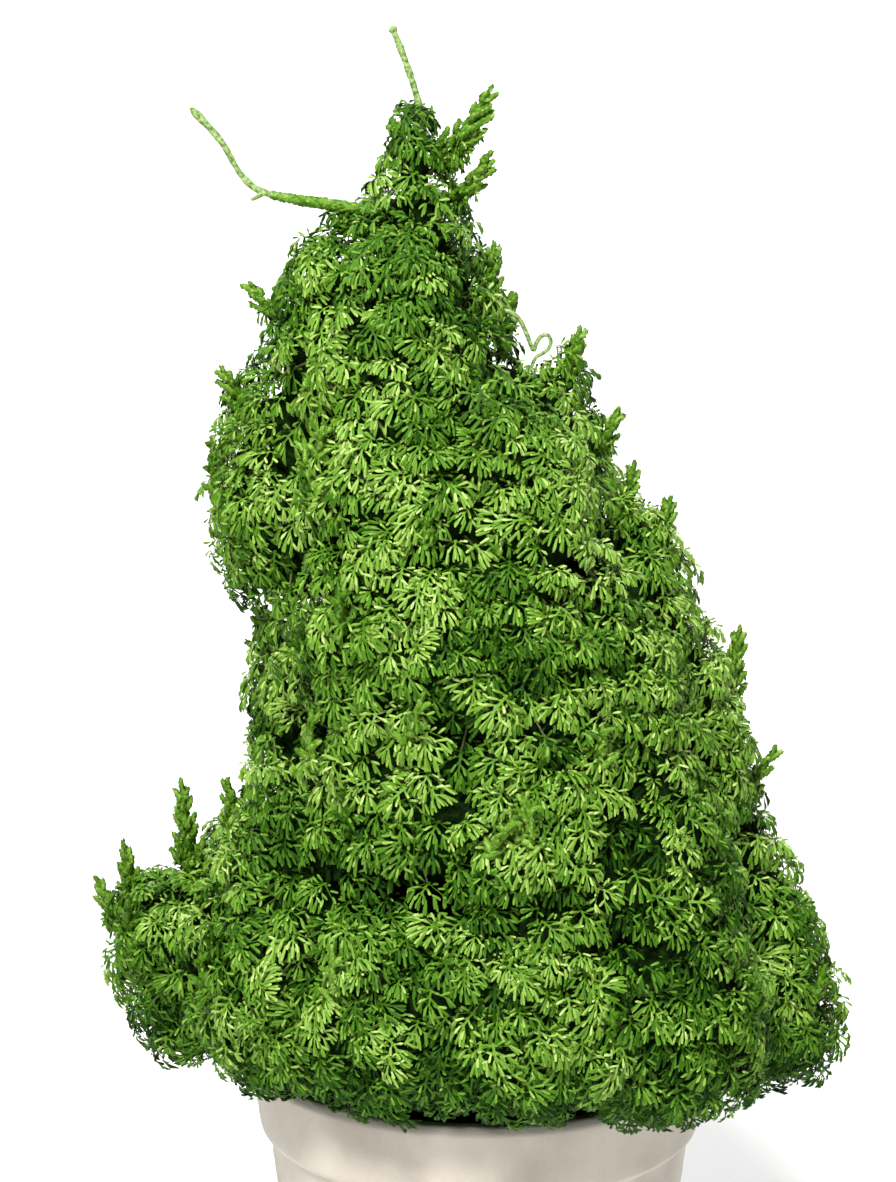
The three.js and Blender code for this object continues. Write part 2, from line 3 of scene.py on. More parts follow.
import bmesh
import bpy
import numpy as np
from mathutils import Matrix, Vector


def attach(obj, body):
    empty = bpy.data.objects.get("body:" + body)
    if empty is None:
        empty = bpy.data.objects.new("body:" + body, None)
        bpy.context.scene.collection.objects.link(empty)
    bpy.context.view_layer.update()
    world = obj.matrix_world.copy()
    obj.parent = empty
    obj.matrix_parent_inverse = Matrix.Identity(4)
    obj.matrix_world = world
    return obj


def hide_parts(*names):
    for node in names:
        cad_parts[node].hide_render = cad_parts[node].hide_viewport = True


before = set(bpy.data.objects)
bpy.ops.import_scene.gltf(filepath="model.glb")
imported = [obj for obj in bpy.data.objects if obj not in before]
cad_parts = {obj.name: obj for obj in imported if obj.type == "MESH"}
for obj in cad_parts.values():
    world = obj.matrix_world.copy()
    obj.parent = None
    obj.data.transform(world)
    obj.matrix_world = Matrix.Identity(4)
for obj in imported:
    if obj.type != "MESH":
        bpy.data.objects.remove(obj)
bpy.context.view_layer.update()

MM = 0.001
SEED = 20611
GOLDEN_ANGLE = math.pi * (3 - math.sqrt(5))
UP = np.array([0.0, 0.0, 1.0])
ASLANT = np.array([0.31, 0.95, 0.05])
TINY = 1e-6

# Pot and soil, as in the source
POT_HEIGHT = 240
MOUTH_RADIUS = 132
FOOT_RADIUS = 98
POT_WALL = 8
POT_FLOOR = 11
COLLAR_HEIGHT = 46
COLLAR_STEP = 5
DRAIN_HOLES = 3
DRAIN_RADIUS = 6
DRAIN_RING = 52
SOIL_TOP = 216
SEAT = 0.35

# Trunk and boughs, as in the source
FOLIAGE_TOP = 778
WHIP_TOP = 820
TRUNK_RADIUS = 12
ROOT_FLARE = 7
FLARE_HEIGHT = 26
LEADER_RADIUS = 1.8
TAPER_POWER = 0.9
TRUNK_LEAN = -34
TRUNK_LEAN_POWER = 1.15
WHIP_LEAN = -14.5
WHIP_LEAN_POWER = 1.2
TRUNK_SWAY = 5
BOUGH_RISE = 0.45
BOUGH_DROP = 6
BOUGH_KNEE = 0.45
BOUGH_TAPER = 0.35
THINNEST_BOUGH = 2.2
BOUGH_THICKENING = 0.035
SHORTEST_BOUGH = 82
LOWEST_BOUGH = 22
BOUGH_STAGGER = 15
STEM_LENGTH = 5
STEM_SHARE = 0.65

# Foliage, as in the source
NEIGHBOUR_REACH = 1.3
SPACE_GAP = 0.8
LEAST_SHARE = 0.3
CORE_SHARE = 0.84
CORE_LUMPS = 0.07
BLOCKINESS = 2.4
FULLNESS = 1.24
DEPTH_SHARE = 1.15
FLOW_OUTWARD = 0.35

# Name, turn in degrees, height, reach, half width, half height, spread
MASSES = [
    ("leader", 180, 727, 35, 29, 46, 0.35),
    ("shoulder_left", 188, 662, 97, 35, 43, 0.25),
    ("shoulder_right", 12, 650, 45, 30, 44, 0.25),
    ("shoulder_front", 246, 657, 92, 41, 50, 0.3),
    ("shoulder_back", 110, 655, 98, 47, 52, 0.3),
    ("upper_left", 180, 591, 130, 36, 38, 0.1),
    ("upper_right", 4, 594, 96, 32, 49, 0.25),
    ("breast_left", 252, 588, 122, 45, 47, 0.2),
    ("breast_right", 300, 572, 122, 42, 48, 0.2),
    ("breast_back_left", 132, 552, 142, 52, 58, 0.2),
    ("breast_back_right", 60, 548, 142, 55, 60, 0.2),
    ("middle_left", 186, 542, 137, 45, 43, -0.1),
    ("middle_right", 0, 506, 145, 41, 50, 0.25),
    ("waist_left", 246, 508, 144, 43, 46, 0.2),
    ("waist_front", 281, 500, 156, 46, 46, 0.2),
    ("waist_right", 315, 476, 158, 43, 49, 0.25),
    ("low_left", 187, 440, 129, 45, 55, 0.05),
    ("low_right", 0, 424, 174, 40, 55, 0.25),
    ("hip_left", 250, 422, 156, 46, 53, 0.2),
    ("hip_front", 286, 408, 176, 46, 55, 0.2),
    ("hip_right", 318, 386, 188, 43, 52, 0.25),
    ("hip_back_left", 120, 426, 170, 60, 64, 0.2),
    ("hip_back_right", 48, 414, 188, 62, 66, 0.2),
    ("flank_left", 216, 370, 162, 42, 47, 0.2),
    ("spur_left", 170, 346, 152, 31, 42, 0.1),
    ("haunch_right", 6, 338, 191, 38, 48, 0.25),
    ("foot_left", 182, 290, 213, 43, 54, -0.15),
    ("foot_front_left", 254, 308, 188, 48, 54, 0.1),
    ("foot_left_front", 220, 300, 190, 49, 53, 0.05),
    ("foot_front", 284, 309, 203, 50, 55, 0.1),
    ("foot_front_right", 316, 294, 206, 50, 57, 0.1),
    ("foot_right", 0, 280, 216, 47, 60, 0.22),
    ("foot_back_right", 40, 296, 210, 62, 62, 0.15),
    ("foot_back", 90, 300, 204, 66, 64, 0.15),
    ("foot_back_left", 138, 296, 210, 62, 62, 0.1),
]

# Shoots out of the outline: mass, turn, height and distance of the tip, length, lean
SPIRES = [
    ("leader", 0, 787, 42, 50, 1.1),
    ("leader", 350, 752, 38, 34, 1.1),
    ("shoulder_left", 180, 681, 99, 26, 1.2),
    ("shoulder_right", 0, 702, 36, 38, 0.1),
    ("shoulder_right", 4, 675, 44, 24, 0.2),
    ("upper_left", 180, 634, 118, 40, 0.8),
    ("upper_right", 0, 656, 80, 32, 0.3),
    ("upper_right", 0, 611, 99, 22, 0.6),
    ("middle_right", 0, 581, 106, 34, 0.2),
    ("middle_right", 0, 561, 125, 30, 0.3),
    ("low_right", 4, 484, 162, 46, 0.2),
    ("low_right", 0, 416, 178, 26, 0.8),
    ("spur_left", 180, 397, 134, 24, 0.1),
    ("foot_left", 182, 398, 160, 62, 0.1),
    ("foot_left", 181, 361, 196, 50, 0.2),
    ("foot_left", 181, 340, 213, 34, 0.6),
    ("leader", 0, 764, 31, 16, 1.4),
    ("leader", 0, 736, 25, 14, 1.6),
    ("leader", 176, 768, 14, 12, 0.5),
]
TALL_SPIRE = 44
SPIRE_TONE = 3.4

# The left whip as distances from the trunk and heights, and the loop shoot as x and z
WHIP_ROUTE = [(0, 700), (24, 717), (46, 723), (83, 729), (98, 738), (109, 758), (124, 776)]
RIDGE_HANDS = 36
LOOP_ROUTE = [
    (10, 668), (16, 667), (21, 663), (25, 655), (28.5, 646.5), (30, 650), (32.5, 654),
    (36, 655), (38, 652), (37, 648), (33.5, 645), (30, 643), (28, 639), (27, 635),
]
LOOP_MIDDLE = (33, 651)
LOOP_CLEAR = 12

# Fingers and fans: a fan's length and its pairs of laterals
FINGER_LENGTH = 7.3
FINGER_WIDTH = 1.68
FINGER_SPACING = 4.0
FAN_SIZES = {"large": (24, 4), "medium": (19, 3), "small": (14, 2), "coarse": (28, 2)}
COARSE_FINGERS = 1.5
FAN_VARIANTS = 12
FAN_BEND = 1.15
FAN_CUP = 0.75
# Fingers within this share of a fan's reach get one tone of painted shade
SHADED_SHARE = 0.4
LEAST_KEPT = 0.75
WHOLE_FAN = 0.9

# Places of fans on the crown
CANDIDATE_AREA = 3.2
FAN_SPACING = 9.9
HOLLOW = 11
SLIM_MASS = 42
SLIM_REACH = -3
CROWN_REACH = -6.5
SLIM_SIZES = [0.1, 0.5, 0.4]
FULL_SIZES = [0.42, 0.42, 0.16]
SHELF_HEIGHT = 32
SHELF_DEPTH = 10
PIT_DEPTH = 5
TWIG_EVERY = 7
INNER_EVERY = 3
INNER_DEPTH = 9
INNER_MASS = 36
RISING_SHARE = 0.1
CLIMBING_SHARE = 0.05

# Slow changes over the crown: the size of their noise, its offset and its seed
YAW_FIELD = (26, 60, 21)
PIT_FIELD = (17, 90, 41)
TONE_FIELD = (24, 80, 31)

# Shoots wrapped in clubs, and the dark middle of painted shade
SPIKE_AREA = 3.4
SPIKE_LENGTH = 4.6
SPIKE_WIDTH = 2.1
CORE_DEPTH = 21
SPINE_DEPTH = 25
SPINE_LEVELS = 62
SPINE_TURNS = 80

# Most triangles in a piece of sprays, and the box that no finger leaves
PIECE_LIMIT = 185000
BOX_LOW = np.array([-238, -209, -7])
BOX_HIGH = np.array([221, 213, 827])


def columns(*parts):
    return np.stack(parts, -1)


def unit(v):
    return v / np.linalg.norm(v, axis=-1, keepdims=True)


def eased(value, start, run):
    """0 up to a start, then rising to 1 over a run. A negative run goes the other way."""
    return np.clip((value - start) / run, 0, 1)


def turned(turn):
    angle = math.radians(turn)
    return np.array([math.cos(angle), math.sin(angle), 0.0])


def even_turns(count):
    return np.arange(count) * math.tau / count


def circle(count):
    angle = even_turns(count)
    return columns(np.cos(angle), np.sin(angle), 0 * angle)


def trunk_middle(height):
    height = np.asarray(height, float)
    climbed = eased(height, SOIL_TOP, FOLIAGE_TOP - SOIL_TOP)
    on_whip = eased(height, FOLIAGE_TOP, WHIP_TOP - FOLIAGE_TOP)
    x = TRUNK_LEAN * climbed**TRUNK_LEAN_POWER + WHIP_LEAN * on_whip**WHIP_LEAN_POWER
    y = TRUNK_SWAY * np.sin(math.tau * climbed)
    return columns(x, y, height)


def trunk_radius(height):
    climbed = eased(height, SOIL_TOP, FOLIAGE_TOP - SOIL_TOP)
    taper = TRUNK_RADIUS + (LEADER_RADIUS - TRUNK_RADIUS) * climbed**TAPER_POWER
    return taper + ROOT_FLARE * np.exp(-(height - SOIL_TOP) / FLARE_HEIGHT)


class Mass:
    """A mass of foliage as in the source, cut off halfway to its neighbours."""

    def __init__(self, index, name, turn, height, reach, half_width, half_height, spread):
        self.index, self.name, self.spread = index, name, spread
        self.outward = turned(turn)
        self.across = np.cross(UP, self.outward)
        self.deep = half_width * (DEPTH_SHARE if index > 0 else 1)
        self.wide = half_width * FULLNESS
        self.tall = half_height * FULLNESS
        self.middle = trunk_middle(height) + self.outward * (reach - self.deep)

    def radius(self, direction):
        girth = 1 - self.spread * direction[..., 2]
        deep = np.abs(direction @ self.outward) / (self.deep * girth)
        wide = np.abs(direction @ self.across) / (self.wide * girth)
        tall = np.abs(direction[..., 2]) / self.tall
        return (deep**BLOCKINESS + wide**BLOCKINESS + tall**BLOCKINESS) ** (-1 / BLOCKINESS)

    def find_space(self, masses):
        planes = []
        for other in masses:
            if other is self:
                continue
            towards = other.middle - self.middle
            distance = np.linalg.norm(towards)
            towards = towards / distance
            own, theirs = self.radius(towards), other.radius(-towards)
            if distance <= (own + theirs) * NEIGHBOUR_REACH:
                even = 0.5 + (own * own - theirs * theirs) / (2 * distance**2)
                share = np.clip(even, LEAST_SHARE, 1 - LEAST_SHARE)
                planes.append((*towards, distance * share - SPACE_GAP / 2))
        self.planes = np.array(planes)

    def core_radius(self, direction):
        x, y, z = np.moveaxis(direction, -1, 0)
        lump = np.sin(4 * x + 5 * z + self.index) * np.cos(5 * y - 3 * z + 2 * self.index)
        radius = CORE_SHARE * (1 + CORE_LUMPS * lump) * self.radius(direction)
        towards = direction @ self.planes[:, :3].T
        limits = self.planes[:, 3] / np.maximum(towards, TINY)
        return np.minimum(radius, np.where(towards > TINY, limits, np.inf).min(-1))

    def directions(self, count):
        """The source's golden-angle places, carried on round the whole mass."""
        i = np.arange(count)
        level = 1 - 2 * (i + 0.5) / count
        angle = i * GOLDEN_ANGLE + self.index
        ring = np.sqrt(1 - level * level)
        across, up = ring * np.cos(angle), ring * np.sin(angle)
        return self.outward * level[:, None] + self.across * across[:, None] + UP * up[:, None]

    def join(self):
        """Whether it has a bough, and the root, knee and tip of its bough or stem."""
        run = np.linalg.norm((self.middle - trunk_middle(self.middle[2]))[:2])
        lowest = SOIL_TOP + LOWEST_BOUGH + BOUGH_STAGGER * (self.index % 3)
        root = trunk_middle(max(lowest, self.middle[2] - BOUGH_RISE * run - BOUGH_DROP))
        knee = root + (self.middle - root) * [1, 1, 0] * BOUGH_KNEE
        inward = unit(knee - self.middle)
        face = float(self.core_radius(inward))
        reach = np.linalg.norm(self.middle - knee) + np.linalg.norm(knee - root)
        reach = reach - trunk_radius(root[2])
        tip = self.middle + inward * (face + STEM_LENGTH + SEAT)
        return reach - face > SHORTEST_BOUGH, root, knee, tip

    def thickness(self):
        return THINNEST_BOUGH + BOUGH_THICKENING * (self.wide + self.tall)


masses = [Mass(i, *row) for i, row in enumerate(MASSES)]
for mass in masses:
    mass.find_space(masses)


def linked(name, data):
    thing = bpy.data.objects.new(name, data)
    bpy.context.scene.collection.objects.link(thing)
    return thing


class Heap:
    """Triangles with their shades, in millimetres, that become one mesh."""

    def __init__(self):
        self.points, self.faces, self.shades, self.count, self.size = [], [], [], 0, 0

    def add(self, points, faces, shades=0):
        points = np.asarray(points, float).reshape(-1, 3)
        faces = np.asarray(faces, int).reshape(-1, 3)
        self.points.append(points)
        self.faces.append(faces + self.count)
        self.shades.append(np.broadcast_to(shades, len(faces)).astype(int))
        self.count += len(points)
        self.size += len(faces)

    def take(self, other):
        self.add(*(np.concatenate(part) for part in (other.points, other.faces, other.shades)))

    def make(self, name, materials, slot, nodes=()):
        points = np.concatenate(self.points) * MM
        faces = np.concatenate(self.faces)
        mesh = bpy.data.meshes.new(name)
        mesh.vertices.add(len(points))
        mesh.vertices.foreach_set("co", points.ravel())
        mesh.loops.add(faces.size)
        mesh.loops.foreach_set("vertex_index", faces.ravel())
        mesh.polygons.add(len(faces))
        mesh.polygons.foreach_set("loop_start", np.arange(0, faces.size, 3))
        mesh.polygons.foreach_set("material_index", np.concatenate(self.shades))
        mesh.polygons.foreach_set("use_smooth", np.full(len(faces), True))
        for material in materials:
            mesh.materials.append(material)
        mesh.update(calc_edges=True)
        piece = linked(name, mesh)
        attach(piece, "root")
        if nodes:
            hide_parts(*nodes)


NOISE_PRIMES = np.array([374761393, 668265263, 2147483647])
NOISE_SEED_STEP = 1013904223
NOISE_MIX = 1274126177
NOISE_MASK = 0xFFFF


def noise(points, seed):
    """Smooth lattice noise between 0 and 1 at points of two or three dimensions."""
    cell = np.floor(points).astype(int)
    part = points - cell
    part = part * part * (3 - 2 * part)
    primes = NOISE_PRIMES[: points.shape[-1]]
    total = 0
    for corner in np.ndindex(*(2,) * points.shape[-1]):
        key = ((cell + corner) * primes).sum(-1) + seed * NOISE_SEED_STEP
        with np.errstate(over="ignore"):
            key = (key ^ (key >> 13)) * NOISE_MIX
        value = ((key ^ (key >> 16)) & NOISE_MASK) / NOISE_MASK
        total = total + value * np.where(corner, part, 1 - part).prod(-1)
    return total


def field(points, size, offset, seed):
    return noise(points / size + offset, seed)


def ring_pairs(rings, sides):
    """The points of all rings but the last, and the next point round each ring."""
    i, j = np.meshgrid(np.arange(rings - 1), np.arange(sides), indexing="ij")
    return (i * sides + j).ravel(), (i * sides + (j + 1) % sides).ravel()


def closed(rings, ends):
    """The points and faces of a surface over rings of points, closed at its two ends."""
    n, sides = rings.shape[:2]
    a, b = ring_pairs(n, sides)
    c, d = a + sides, b + sides
    j = np.arange(sides)
    k, first, top = (j + 1) % sides, 0 * j + n * sides, (n - 1) * sides
    faces = [[a, c, b], [b, c, d], [first, j, k], [first + 1, top + k, top + j]]
    faces = np.concatenate([columns(*face) for face in faces])
    return np.concatenate([rings.reshape(-1, 3), ends]), faces


def tube(points, radii, sides, relief=None):
    """A closed tube along points, with each ring across the route."""
    points = np.asarray(points, float)
    n = len(points)
    tangent = unit(np.gradient(points, axis=0))
    across = unit(np.cross(unit(ASLANT), tangent))
    other = np.cross(across, tangent)
    angle = even_turns(sides)
    radius = np.broadcast_to(np.asarray(radii, float).reshape(-1, 1), (n, sides))
    if relief is not None:
        radius = radius + relief(np.broadcast_to(angle, (n, sides)), n)
    ring = across[:, None] * np.cos(angle)[:, None] + other[:, None] * np.sin(angle)[:, None]
    return closed(points[:, None] + ring * radius[..., None], points[[0, -1]])


def rod(heap, route, thick, thin, sides, shade=0):
    """Adds a tube that tapers evenly along its route."""
    heap.add(*tube(route, np.linspace(thick, thin, len(route)), sides), shade)


def bezier(a, b, c, t):
    t = np.asarray(t, float)[:, None]
    return (1 - t) ** 2 * a + 2 * t * (1 - t) * b + t * t * c


def run_along(route):
    """How far along a route its points lie."""
    return np.concatenate([[0], np.cumsum(np.linalg.norm(np.diff(route, axis=0), axis=1))])


def at_runs(runs, run, values):
    """A route's values, read between its points at some runs."""
    return columns(*(np.interp(runs, run, values[:, k]) for k in range(3)))


def smooth_route(points, count, cuts=24):
    """Catmull and Rom's curve through points, in even steps."""
    points = np.asarray(points, float)
    before, after = 2 * points[0] - points[1], 2 * points[-1] - points[-2]
    padded = np.concatenate([[before], points, [after]])
    fine = []
    for k in range(len(points) - 1):
        p0, p1, p2, p3 = padded[k : k + 4]
        t = np.linspace(0, 1, cuts, endpoint=False)[:, None]
        square = 2 * p0 - 5 * p1 + 4 * p2 - p3
        cube = 3 * p1 - p0 - 3 * p2 + p3
        fine.append(0.5 * (2 * p1 + (p2 - p0) * t + square * t**2 + cube * t**3))
    fine = np.concatenate(fine + [points[-1:]])
    run = run_along(fine)
    return at_runs(np.linspace(0, run[-1], count), run, fine)


# One finger, a round-backed club: its points lie along, across and up
FINGER_POINTS = np.array([
    [0, -0.26, 0], [0, 0.26, 0], [0.74, -0.48, -0.1], [0.72, 0, 0.6], [0.74, 0.48, -0.1],
    [1.0, -0.24, -0.34], [1.0, 0.24, -0.34],
])
FINGER_FACES = np.array([[0, 2, 3], [0, 3, 1], [1, 3, 4], [2, 5, 3], [3, 5, 6], [3, 6, 4]])
# The end face of each finger is one tone lighter: partly the shoots' paler tips, partly a painted
# highlight on their ends
PALE_TIP_AND_HIGHLIGHT = np.array([0, 0, 0, 0, 1, 0])

# In a fan's own frame: where its outer fingers hang to, and the side that they show
HANG = np.array([0.5, 0, -0.86])
SHOWN = np.array([0.64, 0, 0.77])


def fingers_at(root, along, across, length, width):
    """The points of fingers from their roots, directions and sizes."""
    up = np.cross(along, across)[:, None]
    p = FINGER_POINTS
    girth = across[:, None] * (p[:, 1, None] * width) + up * (p[:, 2, None] * width)
    return root[:, None] + along[:, None] * (p[:, 0, None] * length) + girth


def finger_faces(count):
    return FINGER_FACES[None] + len(FINGER_POINTS) * np.arange(count)[:, None, None]


class Fan:
    """One fan spray along +X with its face to +Z: fingers, and strips for its laterals and rib."""

    RAISED = 0.55
    RAISED_SIZE = 0.66
    RIB_TIPS = (-0.42, 0, 0.42)

    def __init__(self, rng, length, pairs, coarse):
        self.length = length
        finger_length = FINGER_LENGTH * coarse
        spacing = FINGER_SPACING * coarse
        fingers, strips = [], []
        for i in range(pairs):
            share = (i + 0.15) / pairs
            for side in (-1, 1):
                start = np.array([length * (share * 0.62 + (0.06 if side > 0 else 0)), 0.0])
                stem = length * (0.56 - 0.42 * share) * rng.uniform(0.85, 1.15)
                angle = side * (1.32 - 0.85 * share + rng.normal(0, 0.08))
                heading = np.array([math.cos(angle), math.sin(angle)])
                end = start + heading * stem
                strips.append((start, end))
                fingers.append((*end, angle + side * 0.2, 0))
                fingers.append((*(start + heading * stem * 0.9), angle - side * 0.3, 0))
                for k in range(round(stem / spacing)):
                    place = start + heading * (k + 0.6) * spacing
                    splay = (0.5 if k % 2 else -0.5) * side
                    fingers.append((*place, angle + splay, self.RAISED))
        rib_end = np.array([length - finger_length * 0.95, 0.0])
        strips.append((np.zeros(2), rib_end))
        for bend in self.RIB_TIPS:
            fingers.append((*rib_end, bend, 0))
        self.place_fingers(rng, np.array(fingers), finger_length, FINGER_WIDTH * coarse)
        self.place_strips(strips)

    def place_fingers(self, rng, fingers, length, width):
        count = len(fingers)
        x, y, angle, raised = fingers.T
        angle = angle + rng.normal(0, 0.08, count)
        out = np.hypot(x, y) + length * 0.5
        self.outer = out / out.max()
        self.raised = raised > 0
        foot = columns(x, y, 0 * x)
        heading = columns(np.cos(angle), np.sin(angle), 0 * x)
        root = self.bent(foot)
        along = unit(self.bent(foot + heading * 0.5) - root)
        hanging = 0.85 * self.outer**2 - 0.05 - raised + rng.normal(0, 0.1, count)
        hanging = np.clip(hanging, -0.45, 0.9)[:, None]
        along = along * (1 - np.abs(hanging)) + HANG * hanging
        along = unit(along + rng.normal(0, 0.06, (count, 3)))
        across = unit(np.cross(SHOWN + rng.normal(0, 0.15, (count, 3)), along))
        long = rng.uniform(0.84, 1.1, count) * np.where(self.raised, self.RAISED_SIZE, 1) * length
        self.tint = rng.choice([-1, 0, 0, 0, 0, 1, 1], count)
        wide = width * rng.uniform(0.9, 1.1, count)[:, None, None]
        self.fingers = fingers_at(root, along, across, long[:, None, None], wide)

    def place_strips(self, strips):
        """Flat strips under the fingers, of which the last is the rib."""
        ribs, faces = [], []
        for k, (start, end) in enumerate(strips):
            heading = unit(end - start)
            main = k == len(strips) - 1
            wide = np.array([-heading[1], heading[0]]) * (0.8 if main else 0.6)
            for j, t in enumerate(np.linspace(0, 1, 4 if main else 2)):
                middle = start + (end - start) * t
                narrow = wide * (1 - 0.5 * t)
                ribs += [[*(middle + narrow), -0.3], [*(middle - narrow), -0.3]]
                if j:
                    a = len(ribs) - 4
                    faces += [[a, a + 1, a + 3], [a, a + 3, a + 2]]
        self.ribs = self.bent(np.array(ribs)[None])[0]
        self.rib_faces = np.array(faces)

    def bent(self, flat):
        """Flat points bent down along the rib and cupped across it."""
        x, y, h = np.moveaxis(flat, -1, 0)
        cup = 0.5 * self.length / FAN_CUP
        y, h = (cup + h) * np.sin(y / cup), (cup + h) * np.cos(y / cup) - cup
        bend = self.length / FAN_BEND
        x, h = (bend + h) * np.sin(x / bend), (bend + h) * np.cos(x / bend) - bend
        return columns(x, y, h)


fan_rng = np.random.default_rng(SEED)
FANS = {}
for kind, (length, pairs) in FAN_SIZES.items():
    coarse = COARSE_FINGERS if kind == "coarse" else 1.0
    FANS[kind] = [Fan(fan_rng, length, pairs, coarse) for _ in range(FAN_VARIANTS)]


# Materials, the greens from dark to light: copies of one leaf material, dealt out for random tone
# and as painted light and shade
GREEN_TONES = [
    (0.004, 0.015, 0.001), (0.012, 0.046, 0.002), (0.029, 0.092, 0.004), (0.060, 0.156, 0.008),
    (0.108, 0.235, 0.018), (0.200, 0.340, 0.050), (0.320, 0.470, 0.115), (0.440, 0.600, 0.195),
]
LIGHTEST = len(GREEN_TONES) - 1


def coated(name, colour, rough, specular, mottle=None, stops=(), grit=None, gloss=(), relief=()):
    """A material with one noise for its colours, one for its gloss, and the last one for relief."""
    made = bpy.data.materials.new(name)
    made.use_nodes = True
    nodes, links = made.node_tree.nodes, made.node_tree.links
    entries = nodes["Principled BSDF"].inputs
    entries["Base Color"].default_value = (*colour, 1)
    entries["Roughness"].default_value = rough
    entries["Specular IOR Level"].default_value = specular

    def node(kind, entry, source, **values):
        new = nodes.new("ShaderNode" + kind)
        for key, value in values.items():
            new.inputs[key.replace("_", " ")].default_value = value
        links.new(source, new.inputs[entry])
        return new

    def texture(scale, detail, stretch=None):
        source = nodes.new("ShaderNodeTexCoord").outputs["Object"]
        if stretch:
            source = node("Mapping", "Vector", source, Scale=stretch).outputs["Vector"]
        return node("TexNoise", "Vector", source, Scale=scale, Detail=detail).outputs["Fac"]

    if mottle:
        source = texture(*mottle)
        ramp = node("ValToRGB", "Fac", source)
        elements = ramp.color_ramp.elements
        for k, (place, tone) in enumerate(stops):
            element = elements[k] if k < 2 else elements.new(place)
            element.position = place
            element.color = (*tone, 1)
        links.new(ramp.outputs["Color"], entries["Base Color"])
    if grit:
        source = texture(*grit)
        span = node("MapRange", "Value", source, From_Min=0.3, From_Max=0.7)
        span.inputs["To Min"].default_value, span.inputs["To Max"].default_value = gloss
        links.new(span.outputs["Result"], entries["Roughness"])
    if relief:
        bump = node("Bump", "Height", source, Strength=relief[0], Distance=relief[1])
        links.new(bump.outputs["Normal"], entries["Normal"])
    return made


# Each green is a lighter or darker copy of the same leaf, used for random tone and for painted
# light and shade
GREENS = [
    coated(
        f"scale_leaf_{k}", colour, 0.5, 0.04 + 0.008 * k * k,
        grit=(900, 2), gloss=(0.4, 0.62), relief=(0.5, 0.0006),
    )
    for k, colour in enumerate(GREEN_TONES)
]
BARK = coated(
    "bark", (0.2, 0.12, 0.07), 0.9, 0.2, (260, 6, (1, 1, 0.14)),
    [(0.3, (0.06, 0.035, 0.022)), (0.7, (0.33, 0.20, 0.12)), (0.52, (0.17, 0.10, 0.06))],
    relief=(0.8, 0.001),
)
TWIG = coated(
    "twig", (0.16, 0.13, 0.05), 0.8, 0.25, (300, 4),
    [(0.35, (0.035, 0.045, 0.014)), (0.68, (0.10, 0.13, 0.035))],
    relief=(0.5, 0.0005),
)
YOUNG = coated(
    "young_shoot", (0.3, 0.46, 0.12), 0.55, 0.3, (520, 4),
    [(0.36, (0.06, 0.12, 0.025)), (0.66, (0.31, 0.43, 0.15)), (0.5, (0.19, 0.29, 0.09))],
    relief=(0.6, 0.0006),
)
CLAY = coated(
    "clay", (0.5, 0.46, 0.4), 0.85, 0.3, (14, 8),
    [(0.3, (0.40, 0.365, 0.315)), (0.72, (0.60, 0.56, 0.50)), (0.5, (0.51, 0.47, 0.41))],
    grit=(420, 3), gloss=(0.7, 0.95), relief=(0.35, 0.0006),
)
SOIL = coated(
    "soil", (0.05, 0.035, 0.022), 0.95, 0.2, (180, 8),
    [(0.35, (0.018, 0.012, 0.008)), (0.68, (0.12, 0.085, 0.055)), (0.5, (0.045, 0.03, 0.02))],
    relief=(1.0, 0.003),
)
# Near-black green, painted shade on the dark bodies inside the crown
SHADE = coated(
    "inner_shade", (0.006, 0.012, 0.003), 0.95, 0.05, (220, 5),
    [(0.4, (0.002, 0.008, 0.001)), (0.7, (0.010, 0.030, 0.003))],
    relief=(1.0, 0.004),
)


